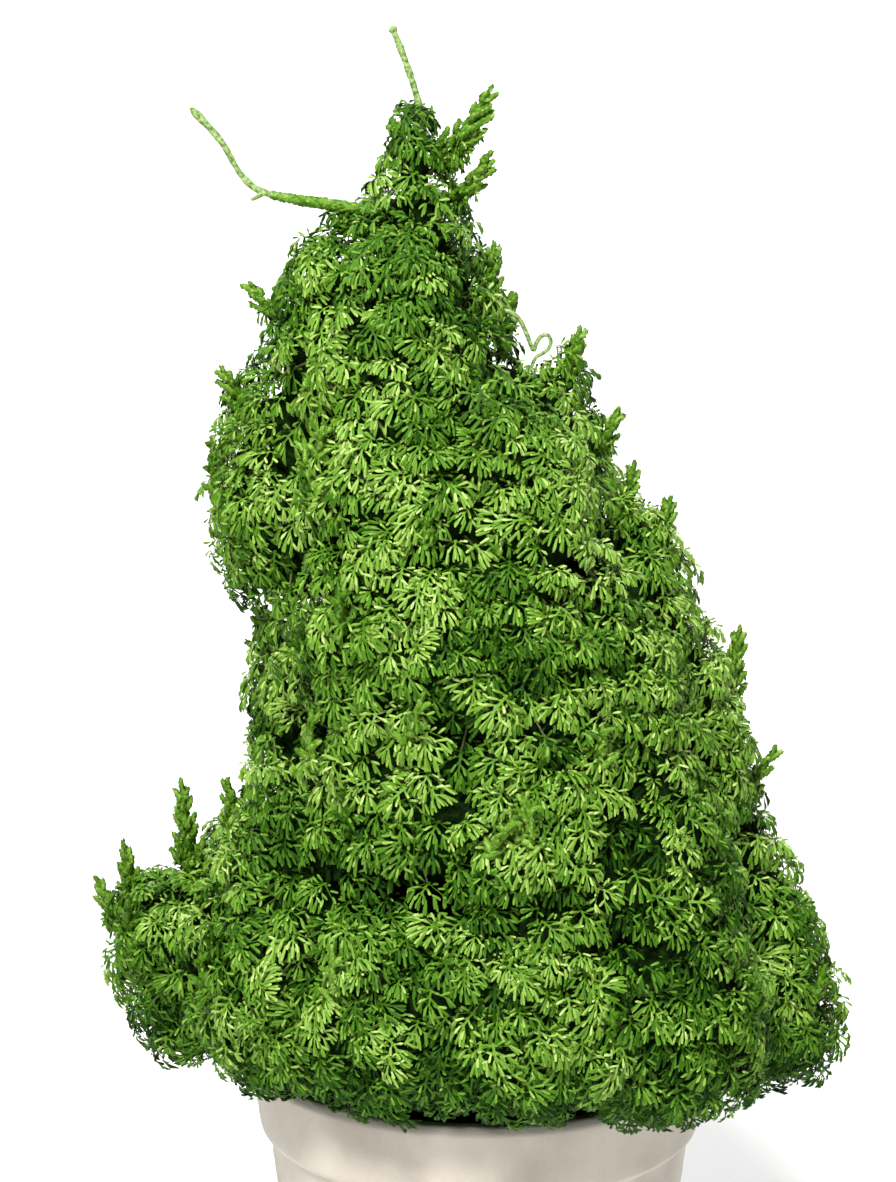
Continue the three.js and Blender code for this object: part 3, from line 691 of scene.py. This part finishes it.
class Sprays:
    """Places for fans: root, axis, side, top, scale, shade and variant."""

    def __init__(self):
        self.rows = {kind: [] for kind in FANS}

    def put(self, kind, root, axis, face, scale, shade, variant):
        axis = unit(axis)
        side = unit(np.cross(face, axis))
        self.rows[kind].append((root, axis, side, np.cross(axis, side), scale, shade, variant))

    def pour(self, heap):
        for kind, fans in FANS.items():
            for variant, fan in enumerate(fans):
                own = [row for row in self.rows[kind] if row[-1] % FAN_VARIANTS == variant]
                if own:
                    self.pour_fan(heap, fan, own)

    def pour_fan(self, heap, fan, rows):
        """Adds a fan at each of its places, without the fingers that aren't kept."""
        root, axis, side, up, scale, shade, _ = (np.array(part) for part in zip(*rows))
        basis = np.stack([axis, side, up], 1) * scale[:, None, None]
        points = np.einsum("fvk,nkc->nfvc", fan.fingers, basis) + root[:, None, None]
        inside = self.kept(points)
        inside &= (inside.mean(1) > LEAST_KEPT)[:, None]
        # Raised fingers one tone lighter, painted light on the fans' upper sides; fingers near the
        # root one tone darker, painted shade; the tint is a random tone per finger
        tone = shade[:, None] + fan.raised + fan.tint - (fan.outer < SHADED_SHARE)
        # Fans of shade 0 keep every finger at the darkest green, painted shade
        tone = np.where(shade[:, None] > 0, tone, 0)
        points, tone = points[inside], tone[inside]
        # Each finger's end face one tone lighter, partly pale tip and partly painted highlight
        tones = tone[:, None] + PALE_TIP_AND_HIGHLIGHT * (tone > 0)[:, None]
        heap.add(points, finger_faces(len(points)), np.clip(tones, 0, LIGHTEST).ravel())
        ribs = np.einsum("vk,nkc->nvc", fan.ribs, basis) + root[:, None]
        whole = inside.mean(1) > WHOLE_FAN
        ribs, tone = ribs[whole], shade[whole]
        faces = fan.rib_faces[None] + ribs.shape[1] * np.arange(len(ribs))[:, None, None]
        heap.add(ribs, faces, np.repeat(np.clip(tone, 0, LIGHTEST), len(fan.rib_faces)))

    @staticmethod
    def kept(points):
        """True for fingers out of the pot, clear of the loop shoot and inside the model's box."""
        x, y, z = np.moveaxis(points, -1, 0)
        in_pot = (np.hypot(x, y) < MOUTH_RADIUS + 1) & (z < POT_HEIGHT + 1.2)
        in_box = ((points > BOX_LOW) & (points < BOX_HIGH)).all(-1)
        at_loop = np.hypot(x - LOOP_MIDDLE[0], z - LOOP_MIDDLE[1]) < LOOP_CLEAR
        return (in_box & ~in_pot & ~at_loop).all(-1)


# Foliage: the crown's surface, and the places of fans on it
rng = np.random.default_rng(SEED + 1)
twigs = Heap()
inner = Heap()


def any_variant():
    return int(rng.integers(1000))


def crown(points):
    """How far points lie outside the crown, where the masses run together in hollows."""
    total = 0
    for mass in masses:
        away = points - mass.middle
        distance = np.linalg.norm(away, axis=-1)
        total = total + np.exp((mass.radius(away / distance[:, None]) - distance) / HOLLOW)
    return -HOLLOW * np.log(total)


def crown_normal(points):
    steps = [(crown(points + e) - crown(points - e))[:, None] for e in np.eye(3)]
    return unit(np.concatenate(steps, 1))


def on_crown(mass, direction, depth=0.0):
    """How far from a mass's middle the crown's surface or a deeper layer lies."""
    full = mass.radius(direction)
    distance = full * 0.95
    for _ in range(12):
        distance = distance - 0.8 * (crown(mass.middle + direction * distance[:, None]) + depth)
        distance = np.clip(distance, 3, 1.6 * full)
    return distance


def find_places():
    """Points spread evenly over the crown, each with the mass that it belongs to."""
    points, owners = [], []
    for mass in masses:
        direction = mass.directions(round(mass.wide * mass.tall * 4 / CANDIDATE_AREA / 3))
        distance = on_crown(mass, direction)
        own = distance < 1.55 * mass.radius(direction)
        surface = mass.middle + direction[own] * distance[own][:, None]
        points.append(surface)
        owners.append(np.full(len(surface), mass.index))
    points, owners = np.concatenate(points), np.concatenate(owners)
    outside = np.abs(crown(points)) < 2
    points, owners = points[outside], owners[outside]
    kept, cells = [], {}
    near = [np.array(c) - 1 for c in np.ndindex(3, 3, 3)]
    for k in rng.permutation(len(points)):
        cell = np.floor(points[k] / FAN_SPACING).astype(int)
        close = [j for c in near for j in cells.get(tuple(cell + c), ())]
        if close and np.min(np.sum((points[close] - points[k]) ** 2, 1)) < FAN_SPACING**2:
            continue
        cells.setdefault(tuple(cell), []).append(k)
        kept.append(k)
    return points[kept], owners[kept]


def shelf(points):
    """Where points lie on their shelves: 0 at the lower rim, 1 under the next rim."""
    turn = np.arctan2(points[:, 1], points[:, 0])
    where = columns(5 * np.cos(turn), 5 * np.sin(turn), points[:, 2] / 50) + 20
    height = points[:, 2] / SHELF_HEIGHT + 2.0 * noise(where, 11) + 1.1 * noise(where * 2.9, 12)
    return height - np.floor(height)


def arc(length, share):
    """Where a fan's rib lies at a share of its length: along its axis, out of its face."""
    turn, bend = FAN_BEND * share, length / FAN_BEND
    return (bend * np.sin(turn))[:, None], (bend * (np.cos(turn) - 1))[:, None]


def aim_fans(mass, surface, normal, step):
    """The sizes of fans, how they flow down the crown and where they point."""
    n = len(surface)
    flow = mass.outward * FLOW_OUTWARD - UP
    flow = unit(flow - normal * (normal @ flow)[:, None])
    side = np.cross(normal, flow)
    yaw = 3.2 * (field(surface, *YAW_FIELD) - 0.5) + rng.normal(0, 0.45, n)
    yaw = yaw[:, None]
    flow = flow * np.cos(yaw) + side * np.sin(yaw)
    lift = np.clip(0.8 + 0.1 * step + rng.normal(0, 0.12, n), 0.3, 0.98)
    kinds = rng.choice(3, n, p=SLIM_SIZES if mass.wide < SLIM_MASS else FULL_SIZES)
    kinds = np.array(["large", "medium", "small"])[kinds]
    rising = (normal[:, 2] > 0.1) & (rng.random(n) < RISING_SHARE)
    sideways = side[rising] * rng.normal(0, 0.8, (n, 1))[rising]
    flow[rising] = unit(sideways + UP * 0.6 + mass.outward * 0.5)
    lift[rising] = rng.uniform(0.5, 0.8, n)[rising]
    lift = lift[:, None]
    return kinds, flow, unit(normal * lift + flow * np.sqrt(1 - lift**2))


def shade_fans(level, normal, step, pit, drift):
    """The shades of fans: painted shade under shelves, in pits, on undersides and towards the
    bottom and the top, with painted light in a band at middle height and on upward faces, over a
    random tone.
    """
    # A random tone field, plus painted shade low down and high up and painted light in a band at
    # middle height
    random_patch_and_height_light = 3.4 * (drift - 0.5) - 0.6 * eased(level, 350, -80)
    random_patch_and_height_light = random_patch_and_height_light + 0.7 * np.exp(-(((level - 530) / 90) ** 2)) - 1.0 * eased(level, 600, 80)
    # Painted shade under each shelf's rim
    tone = 3.3 - 3.4 * np.maximum(0, step - 0.45) + random_patch_and_height_light + rng.normal(0, 0.5, len(level))
    # Painted shade on undersides and in pits
    tone = tone - 2.4 * np.maximum(0, -0.05 - normal[:, 2]) - 1.8 * pit
    # Upward faces out of pits keep at least tone 2, painted light on the crown's tops
    darkest = np.where((normal[:, 2] > 0.4) & (pit < 0.5), 2, 1)
    return np.clip(np.round(tone), darkest, 4).astype(int)


def place_fans(mass, heap, sprays, surface):
    """Fans on a mass's part of the crown, with twigs, inner fans and climbers."""
    n = len(surface)
    normal = crown_normal(surface)
    level = surface[:, 2]
    step = shelf(surface) * np.maximum(eased(level, 680, -180), 0.4)
    kinds, flow, axis = aim_fans(mass, surface, normal, step)
    scale = rng.uniform(0.88, 1.1, n)
    length = np.array([FAN_SIZES[kind][0] for kind in kinds]) * scale
    face = unit(normal * 0.4 + UP * 0.5 - flow * 0.5 + rng.normal(0, 0.2, (n, 3)))
    top = unit(face - axis * (face * axis).sum(1)[:, None])
    pit = eased(field(surface, *PIT_FIELD), 0.6, 0.22)
    reach = SLIM_REACH if mass.wide < SLIM_MASS else CROWN_REACH
    limit = reach - SHELF_DEPTH * step**1.4 - PIT_DEPTH * pit
    limit = limit + rng.normal(0, 2.2, n) + 4 * (rng.random(n) < 0.06)
    along, out = arc(length, 0.7)
    start = surface + normal * limit[:, None] - axis * along - top * out
    over = -9.0
    for share in (0.35, 0.7, 1.0):
        along, out = arc(length, share)
        over = np.maximum(over, crown(start + axis * along + top * out) - limit)
    start = start - normal * np.clip(over, -2, 16)[:, None]
    beyond = crown(start - normal * INNER_DEPTH + axis * 24)
    deep = (np.arange(n) % INNER_EVERY == 0) & (beyond < CROWN_REACH - 4)
    deep &= mass.wide > INNER_MASS
    climbs = (rng.random(n) < CLIMBING_SHARE) & (np.abs(normal[:, 2] - 0.1) < 0.14)
    climbs &= mass.index > 0
    tone = shade_fans(level, normal, step, pit, field(surface, *TONE_FIELD))
    for i in range(n):
        at = start[i]
        sprays.put(kinds[i], at, axis[i], face[i], scale[i], tone[i], any_variant())
        if i % TWIG_EVERY == 0:
            knee = (mass.middle + at) * 0.5 + UP * 4
            route = bezier(mass.middle, knee, at + axis[i] * 3, np.linspace(0, 1, 5))
            rod(twigs, route, 1.3, 0.6, 4)
        if deep[i]:
            # Inner coarse fans take the darkest greens, 0 or 1, as painted shade deep in the crown
            sprays.put("coarse", at - normal[i] * INNER_DEPTH, axis[i], face[i], 1.0, i % 2, i)
        if climbs[i]:
            upright(heap, surface[i] + normal[i] * (limit[i] - 3), normal[i], tone[i])


def upright(heap, at, normal, tone):
    """A shoot that climbs on the face of the crown, with short ones up its sides."""
    length = rng.uniform(20, 36)
    rise = UP - normal * (normal @ UP)
    outward = normal * rng.uniform(0.05, 0.25)
    lean = unit(rise + outward + np.cross(UP, normal) * rng.normal(0, 0.3))
    route = [at - normal * 6, at + lean * length * 0.5, at + lean * length]
    spike(heap, route, [2.8, 2.6, 1.6], tone)
    for k in range(6):
        share = (k + 0.5) / 6
        roll = k * GOLDEN_ANGLE + at[0]
        around = np.array([math.cos(roll), math.sin(roll), 0.1])
        foot = at + lean * length * share * 0.9
        bud = foot + (lean * 0.7 + around) * 6 * (1.2 - 0.5 * share)
        spike(heap, [foot, (foot + bud) / 2 + lean * 0.6, bud], [2.2, 2.2, 1.6], tone)


def spike(heap, route, radii, tone):
    """A shoot wrapped in short clubs that point along it and a little outward."""
    route = np.asarray(route, float)
    run = run_along(route)
    count = max(10, int(run[-1] * math.tau * np.mean(radii) / SPIKE_AREA))
    share = (np.arange(count) + 0.5) / count
    at = at_runs(share * run[-1], run, route)
    tangent = unit(at_runs(share * run[-1], run, np.gradient(route, axis=0)))
    radius = np.interp(share, np.linspace(0, 1, len(radii)), radii)[:, None]
    roll = (np.arange(count) * GOLDEN_ANGLE)[:, None]
    across = unit(np.cross(tangent, ASLANT))
    radial = across * np.cos(roll) + np.cross(tangent, across) * np.sin(roll)
    along = unit(tangent + radial * 0.5 + rng.normal(0, 0.12, (count, 3)))
    side = unit(np.cross(radial, along))
    wide = SPIKE_WIDTH * rng.uniform(0.85, 1.15, (count, 1, 1))
    long = SPIKE_LENGTH * rng.uniform(0.8, 1.15, (count, 1, 1))
    root = at + radial * (radius - 1.4) - along * SPIKE_LENGTH * 0.5
    points = fingers_at(root, along, side, long, wide)
    points = points[Sprays.kept(points)]
    tones = np.clip(np.round(tone + rng.normal(0, 0.6, len(points))), 0, LIGHTEST).astype(int)
    heap.add(points, finger_faces(len(points)), np.repeat(tones, len(FINGER_FACES)))


def plume(mass, heap, sprays, turn, height, distance, standing, leaning):
    """A spire clear of its mass: a wrapped shoot with shorter ones up its sides."""
    slim = leaning >= 1
    tip = trunk_middle(height) + turned(turn) * distance
    lean = unit(turned(turn) * leaning + UP)
    foot = tip - lean * (standing + 10)
    hook = (turned(turn) * 0.6 - UP) * 0.12 * leaning * standing
    bent = foot + lean * standing * 0.6 + hook
    stem = [mass.middle + (foot - mass.middle) * 0.6, foot + hook * 0.5, bent, tip]
    stem = smooth_route(stem, 16)
    rod(twigs, stem, 1.5, 0.6, 5)
    spike(heap, stem[5:], np.linspace(2.6 if slim else 4.2, 1.5, 8), SPIRE_TONE)
    count = max(9, round(standing / (3.2 if slim else 2.4)))
    for k in range(count):
        share = (k + 0.3) / count
        at = stem[5 + int(share * 9)]
        roll = k * GOLDEN_ANGLE + height
        around = np.array([math.cos(roll), math.sin(roll) * 0.8, 0])
        out = 0.95 - 0.25 * share
        length = 5.5 + (0.16 + 0.1 * leaning) * standing * (1 - share)
        heading = lean * math.cos(out) + around * math.sin(out)
        end = at + heading * length * 0.85 + lean * length * 0.25
        curl = smooth_route([at, at + heading * length * 0.55, end], 8)
        spike(heap, curl, np.linspace(2.7, 1.7, 6), SPIRE_TONE + 0.8 * share)
        if share < 0.6 and (standing > TALL_SPIRE or k % 2):
            kind = "medium" if standing > TALL_SPIRE and share < 0.3 else "small"
            hand = around * 0.8 - UP * 0.4 + rng.normal(0, 0.15, 3)
            sprays.put(kind, at - around * 3, hand, around * 0.3 + UP, 0.85, 3, any_variant())


def ico_directions(level):
    """Directions and faces of a sphere cut from an icosahedron."""
    ball = bmesh.new()
    bmesh.ops.create_icosphere(ball, subdivisions=level, radius=1)
    ball.verts.ensure_lookup_table()
    points = np.array([v.co[:] for v in ball.verts])
    faces = np.array([[v.index for v in f.verts] for f in ball.faces])
    ball.free()
    return unit(points), faces


BALL, BALL_FACES = ico_directions(3)


def core(mass):
    """A dark lumpy ball of painted shade inside a mass, kept off the pot."""
    radius = np.minimum(on_crown(mass, BALL, CORE_DEPTH), mass.radius(BALL))
    rough = noise(BALL * 7 + mass.index * 3.7 + 50, mass.index + 5)
    points = mass.middle + BALL * (radius * (0.9 + 0.14 * rough))[:, None]
    over_pot = np.hypot(points[:, 0], points[:, 1]) <= MOUTH_RADIUS + 2
    points[:, 2] = np.where(over_pot, np.maximum(points[:, 2], POT_HEIGHT + 2), points[:, 2])
    inner.add(points, BALL_FACES)


def spine():
    """The dark middle of painted shade round the trunk, so that no ray passes between the masses.
    """
    heights = np.linspace(POT_HEIGHT + 22, FOLIAGE_TOP - 20, SPINE_LEVELS)
    outward = circle(SPINE_TURNS)[::-1]
    distances = np.arange(260, 4, -4)
    middles = trunk_middle(heights)
    points = middles[:, None, None] + outward[:, None] * distances[:, None]
    inside = crown(points.reshape(-1, 3)).reshape(points.shape[:-1]) < -SPINE_DEPTH
    radius = np.where(inside.any(-1), distances[inside.argmax(-1)], 2)
    surface = middles[:, None] + outward * radius[..., None]
    inner.add(*closed(surface, middles[[0, -1]]))


def gather_masses():
    """Sprays of masses in order, in pieces under the limit of triangles."""
    heap, nodes, made = Heap(), [], []
    places, owners = find_places()
    for mass in masses:
        sprays, own = Sprays(), Heap()
        place_fans(mass, own, sprays, places[owners == mass.index])
        for name, *spire in SPIRES:
            if name == mass.name:
                plume(mass, own, sprays, *spire)
        sprays.pour(own)
        if heap.size + own.size > PIECE_LIMIT:
            made.append((heap, nodes))
            heap, nodes = Heap(), []
        heap.take(own)
        nodes.append("foliage_" + mass.name)
        core(mass)
        has_bough, root, _, tip = mass.join()
        stem = np.linspace(tip if has_bough else root, mass.middle, 6)
        rod(twigs, stem, mass.thickness() * STEM_SHARE, 1.4, 8)
    made.append((heap, nodes))
    spine()
    return made


for k, (heap, nodes) in enumerate(gather_masses()):
    heap.make(f"sprays_tier_{k + 1}", GREENS, "foliage", nodes)


# Trunk, boughs and whips
BARK_INSET = 0.2
BOUGH_RINGS = 50
YOUNG_SIDES = 14
WHIP_RINGS = 150


def bark_relief(depth):
    """Long ridges with a finer grain, as what they add to a tube's radius."""

    def relief(angle, n):
        along = np.arange(n)[:, None] * np.ones_like(angle)
        ring = columns(np.cos(angle) * 2.6, np.sin(angle) * 2.6, along * 0.09) + 40
        ridges = 1 - np.abs(2 * noise(ring, 3) - 1)
        fine = noise(ring * [2.3, 2.3, 3.1], 8)
        return (ridges - 0.7) * depth + (fine - 0.5) * depth * 0.5

    return relief


def young_radius(rings, seed):
    """A bare young shoot: swollen at its tip, with nodes where its scales meet."""
    share = np.linspace(0, 1, rings)
    nodes = noise(columns(share * 15, share * 0) + 9, seed) - 0.5
    nodes = nodes + 0.8 * (noise(columns(share * 44, share * 0) + 9, seed + 1) - 0.5)
    tip = 0.75 * np.exp(-(((share - 0.97) / 0.03) ** 2))
    radii = 2.25 - 0.45 * share + 0.5 * nodes + tip
    radii[-4:] *= [0.97, 0.85, 0.66, 0.35]
    return radii


def make_wood():
    bark = Heap()
    heights = np.linspace(SOIL_TOP + SEAT, FOLIAGE_TOP - 8, 300)
    radii = trunk_radius(heights) - BARK_INSET
    bark.add(*tube(trunk_middle(heights), radii, 28, bark_relief(0.9)))
    nodes = ["trunk"]
    share = np.linspace(0.05, 1, BOUGH_RINGS)
    for mass in masses:
        has_bough, root, knee, tip = mass.join()
        if not has_bough:
            continue
        radii = mass.thickness() * (1 - BOUGH_TAPER * share) - BARK_INSET
        bark.add(*tube(bezier(root, knee, tip, share), radii, 14, bark_relief(0.5)))
        nodes.append("bough_" + mass.name)
    bark.make("bark", [BARK], "bark", nodes)


def make_whips():
    """The trunk's bare tip, the left whip with its sprays, and the loop shoot."""
    whip = Heap()
    heights = np.linspace(FOLIAGE_TOP - 14, WHIP_TOP - 0.4, 110)
    whip.add(*tube(trunk_middle(heights), young_radius(110, 3), YOUNG_SIDES))
    whip.make("whip_top", [YOUNG], "young_shoot", ["trunk"])

    left = Heap()
    points = [
        trunk_middle(h) + [-d, -2 * math.sin(i), 0] for i, (d, h) in enumerate(WHIP_ROUTE)
    ]
    route = smooth_route(points, WHIP_RINGS)
    left.add(*tube(route, young_radius(WHIP_RINGS, 7), YOUNG_SIDES), len(GREENS))
    stub = smooth_route(route[92] + np.array([[2, 0, 0], [-2, -1, -2.5], [-6, -1, -4.5]]), 10)
    rod(left, stub, 1.8, 0.9, 8, len(GREENS))
    spike(left, route[12:88], [2.0, 3.6, 3.8, 3.4, 2.4], 3.6)
    sprays = Sprays()
    for k in range(RIDGE_HANDS):
        share = 0.08 + 0.3 * k / RIDGE_HANDS
        at = route[int(share * (WHIP_RINGS - 1))] - UP * 1.5
        side = np.array([rng.normal(0, 0.5), 0.9 if k % 2 else -0.9, 0])
        kind = "small" if share > 0.24 else "medium"
        axis = side * (0.4 + share) - UP * rng.uniform(0.2, 0.9)
        scale = rng.uniform(0.75, 1)
        # The hands under the whip take a fixed darker tone 2, painted shade beneath the whip
        sprays.put(kind, at, axis, UP * 0.4 + side, scale, 2, any_variant())
    sprays.pour(left)
    left.make("whip_left_shoot", GREENS + [YOUNG], "young_shoot", ["whip_left"])

    loop = Heap()
    points = [(x, -20 - 0.4 * k, z) for k, (x, z) in enumerate(LOOP_ROUTE)]
    rod(loop, smooth_route(points, 80), 1.5, 1.0, 10)
    loop.make("loop_shoot", [YOUNG], "young_shoot")


make_wood()
make_whips()
twigs.make("twigs", [TWIG], "bark")
inner.make("painted_shade_body", [SHADE], "foliage")


# Pot and soil
POT_SIDES = 112
POT_STEP = 4
POT_EDGE = 3
POT_LIP = 4
TURNING_DEPTH = 0.12
TURNING_RATE = 0.55
TURNING_MARGIN = 8
DRAIN_SIDES = 28
SOIL_RINGS = 46
SOIL_SIDES = 120
SOIL_CRUMBS = 620
SOIL_WAVES = [(5, 17, 1), (2.4, 6, 2), (1.2, 2.6, 4)]
SOIL_OFFSET = 500
LEVEL_SOIL = 24
LEVEL_RUN = 20


def wall_radius(height):
    widening = MOUTH_RADIUS - COLLAR_STEP - FOOT_RADIUS
    return FOOT_RADIUS + widening * height / POT_HEIGHT


def lathe(profile, sides):
    """A profile turned round the axis; a place on the axis becomes one point."""
    profile = np.asarray(profile, float)
    angle = even_turns(sides)
    r, z = profile[:, 0][:, None], profile[:, 1][:, None]
    verts = columns(r * np.cos(angle), r * np.sin(angle), z + 0 * angle).reshape(-1, 3)
    a, b = ring_pairs(len(profile), sides)
    c, d = a + sides, b + sides
    faces = np.concatenate([columns(a, b, d), columns(a, d, c)])
    for k in np.flatnonzero(profile[:, 0] == 0):
        own = (faces >= k * sides) & (faces < (k + 1) * sides)
        faces = np.where(own, k * sides, faces)
    whole = (faces != np.roll(faces, 1, 1)).all(1)
    return verts, faces[whole]


def rounded(points, steps=4, share=0.35, most=6):
    """A profile with its corners rounded off."""
    points = [np.array(p, float) for p in points]
    out = [points[0]]
    for before, corner, after in zip(points, points[1:], points[2:]):
        sides = np.linalg.norm(before - corner), np.linalg.norm(after - corner)
        reach = share * min(*sides, most)
        a = corner + unit(before - corner) * reach
        c = corner + unit(after - corner) * reach
        out += list(bezier(a, corner, c, np.linspace(0, 1, steps)))
    return out + [points[-1]]


def pot_profile():
    """The pot's section from its underside, over the rim, to its floor."""
    collar = POT_HEIGHT - COLLAR_HEIGHT
    inside = MOUTH_RADIUS - COLLAR_STEP - POT_WALL
    corners = rounded([
        (FOOT_RADIUS - POT_EDGE, 0), (FOOT_RADIUS, POT_EDGE),
        (wall_radius(collar), collar), (wall_radius(collar) + COLLAR_STEP, collar + POT_EDGE),
        (MOUTH_RADIUS, POT_HEIGHT - POT_LIP), (MOUTH_RADIUS - POT_EDGE, POT_HEIGHT),
        (inside + POT_EDGE, POT_HEIGHT), (inside, POT_HEIGHT - POT_LIP),
        (wall_radius(POT_FLOOR) - POT_WALL, POT_FLOOR),
    ])
    profile = []
    for a, b in zip(corners, corners[1:]):
        steps = max(1, int(np.linalg.norm(np.subtract(b, a)) / POT_STEP))
        profile += [np.add(a, np.subtract(b, a) * k / steps) for k in range(steps)]
    profile = np.array(profile + [corners[-1]])
    height = profile[:, 1]
    on_wall = (height > TURNING_MARGIN) & (height < POT_HEIGHT - TURNING_MARGIN)
    profile[:, 0] -= np.where(on_wall, TURNING_DEPTH * (1 + np.sin(height * TURNING_RATE)), 0)
    return profile


def holed_disc(shell, rings, facing):
    """Fills a level between a ring of points and the rings of its holes."""
    edges = []
    for ring in rings:
        for pair in zip(ring, ring[1:] + ring[:1]):
            edges.append(shell.edges.get(pair) or shell.edges.new(pair))
    bmesh.ops.triangle_fill(shell, use_beauty=True, edges=edges, normal=(0, 0, facing))


def make_pot():
    verts, faces = lathe(pot_profile(), POT_SIDES)
    shell = bmesh.new()
    points = [shell.verts.new(v) for v in verts]
    for face in faces:
        shell.faces.new([points[k] for k in face])
    under, floor = [points[:POT_SIDES]], [points[-POT_SIDES:]]
    for k in range(DRAIN_HOLES):
        ring = turned(360 * k / DRAIN_HOLES) * DRAIN_RING + DRAIN_RADIUS * circle(DRAIN_SIDES)
        low = [shell.verts.new(p) for p in ring]
        high = [shell.verts.new(p + UP * POT_FLOOR) for p in ring]
        for a in range(DRAIN_SIDES):
            b = (a + 1) % DRAIN_SIDES
            shell.faces.new([low[a], high[a], low[b]])
            shell.faces.new([low[b], high[a], high[b]])
        under.append(low)
        floor.append(high)
    holed_disc(shell, under, -1)
    holed_disc(shell, floor, 1)
    bmesh.ops.recalc_face_normals(shell, faces=shell.faces)
    shell.verts.index_update()
    pot = Heap()
    faces = [[v.index for v in face.verts] for face in shell.faces]
    pot.add([v.co[:] for v in shell.verts], faces)
    shell.free()
    pot.make("pot_body", [CLAY], "clay", ["pot"])


def sunk(plane, out, waves):
    """How far the soil lies under its level, which it keeps round the trunk."""
    plane = plane + SOIL_OFFSET
    depth = sum(deep * noise(plane / size, seed) for deep, size, seed in waves)
    return depth * eased(out, LEVEL_SOIL, LEVEL_RUN)


def make_soil():
    edge = wall_radius(SOIL_TOP) - POT_WALL - SEAT
    soil = Heap()
    profile = [(edge * k / SOIL_RINGS, SOIL_TOP) for k in range(SOIL_RINGS + 1)]
    foot, low = wall_radius(POT_FLOOR) - POT_WALL - SEAT, POT_FLOOR + SEAT
    profile += [(edge - 0.2, SOIL_TOP - 4), (foot, low), (0, low)]
    verts, faces = lathe(profile[::-1], SOIL_SIDES)
    out = np.hypot(verts[:, 0], verts[:, 1])
    top = verts[:, 2] > SOIL_TOP - 1
    verts[:, 2] -= np.where(top, sunk(verts[:, :2], out, SOIL_WAVES), 0)
    soil.add(verts, faces)
    lump, faces = ico_directions(1)
    for _ in range(SOIL_CRUMBS):
        out = rng.uniform(TRUNK_RADIUS + ROOT_FLARE + 3, edge - 5)
        turn = rng.uniform(0, math.tau)
        size = rng.uniform(1.2, 3.6)
        rough = lump * rng.uniform(0.7, 1.1, (len(lump), 1))
        shape = rough * [size, size * rng.uniform(0.7, 1.2), size * 0.7]
        middle = np.array([out * math.cos(turn), out * math.sin(turn), 0])
        middle[2] = SOIL_TOP - sunk(middle[:2], out, SOIL_WAVES[:2])
        soil.add(shape + middle, faces)
    soil.make("soil_bed", [SOIL], "soil", ["soil"])


make_pot()
make_soil()


# Stage, light and camera, in metres
FLOOR_HALF = 30
FLOOR_REACH = 4.3
FLOOR_DROP = 0.001
BEND = 3
WALL_TOP = 9
WORLD_LIGHT = 0.055

# Name, place, target, size, power, colour
LAMPS = [
    ("key", (-0.55, -2.35, 3.1), (0, 0, 0.5), 0.8, 246, (1, 0.985, 0.95)),
    ("fill", (3.0, -2.8, 1.9), (0, 0, 0.4), 2.0, 12, (0.95, 0.98, 1)),
    ("top", (0.1, 0.2, 4.6), (0, 0, 0.5), 1.5, 30, (1, 1, 1)),
    ("backdrop_1", (-3.2, 3.2, 4.6), (0, 6.6, 1.6), 1.5, 330, (1, 1, 1)),
    ("backdrop_3", (3.2, 3.2, 4.6), (0, 6.6, 1.6), 1.5, 330, (1, 1, 1)),
]


def make_stage():
    """A floor that bends up into a wall behind the plant."""
    turns = np.linspace(0.05, math.pi / 2, 24)
    bend = [(FLOOR_REACH + BEND * math.sin(a), BEND - BEND * math.cos(a)) for a in turns]
    rows = [(-FLOOR_HALF, 0), (FLOOR_REACH, 0)] + bend + [(FLOOR_REACH + BEND, WALL_TOP)]
    verts = [(x, y, z - FLOOR_DROP) for y, z in rows for x in (-FLOOR_HALF, FLOOR_HALF)]
    faces = [(2 * k, 2 * k + 1, 2 * k + 3, 2 * k + 2) for k in range(len(rows) - 1)]
    mesh = bpy.data.meshes.new("backdrop")
    mesh.from_pydata(verts, [], faces)
    mesh.polygons.foreach_set("use_smooth", [True] * len(faces))
    mesh.materials.append(coated("paper", (0.9, 0.9, 0.9), 0.95, 0.1))
    linked("backdrop", mesh)


def facing(direction):
    """The rotation of a lamp or the camera that looks along a direction."""
    return direction.to_track_quat("-Z", "Y").to_euler()


def make_lamp(name, place, target, size, power, colour):
    data = bpy.data.lights.new(name, "AREA")
    data.shape, data.size, data.energy, data.color = "DISK", size, power, colour
    lamp = linked(name, data)
    lamp.location = place
    lamp.rotation_euler = facing(Vector(target) - Vector(place))


make_stage()
for row in LAMPS:
    make_lamp(*row)

world = bpy.data.worlds.new("studio")
bpy.context.scene.world = world
world.use_nodes = True
background = world.node_tree.nodes["Background"]
background.inputs["Color"].default_value = (1, 1, 1, 1)
background.inputs["Strength"].default_value = WORLD_LIGHT
bpy.context.scene.view_settings.view_transform = "Standard"

# Camera at the photo's viewing angle, 12 degrees down, with the photo's framing
DOWN = math.radians(12)
DISTANCE = 1.8
AIM = Vector((-0.01792, 0, 0.5078))
MM_PER_PIXEL = 0.56
PHOTO_HEIGHT = 1182
SENSOR = 36
camera_data = bpy.data.cameras.new("camera")
camera_data.sensor_width = SENSOR
camera_data.lens = SENSOR * DISTANCE / MM / MM_PER_PIXEL / PHOTO_HEIGHT
camera = linked("camera", camera_data)
back = Vector((0, -math.cos(DOWN), math.sin(DOWN)))
camera.location = AIM + back * DISTANCE
camera.rotation_euler = facing(-back)
bpy.context.scene.camera = camera
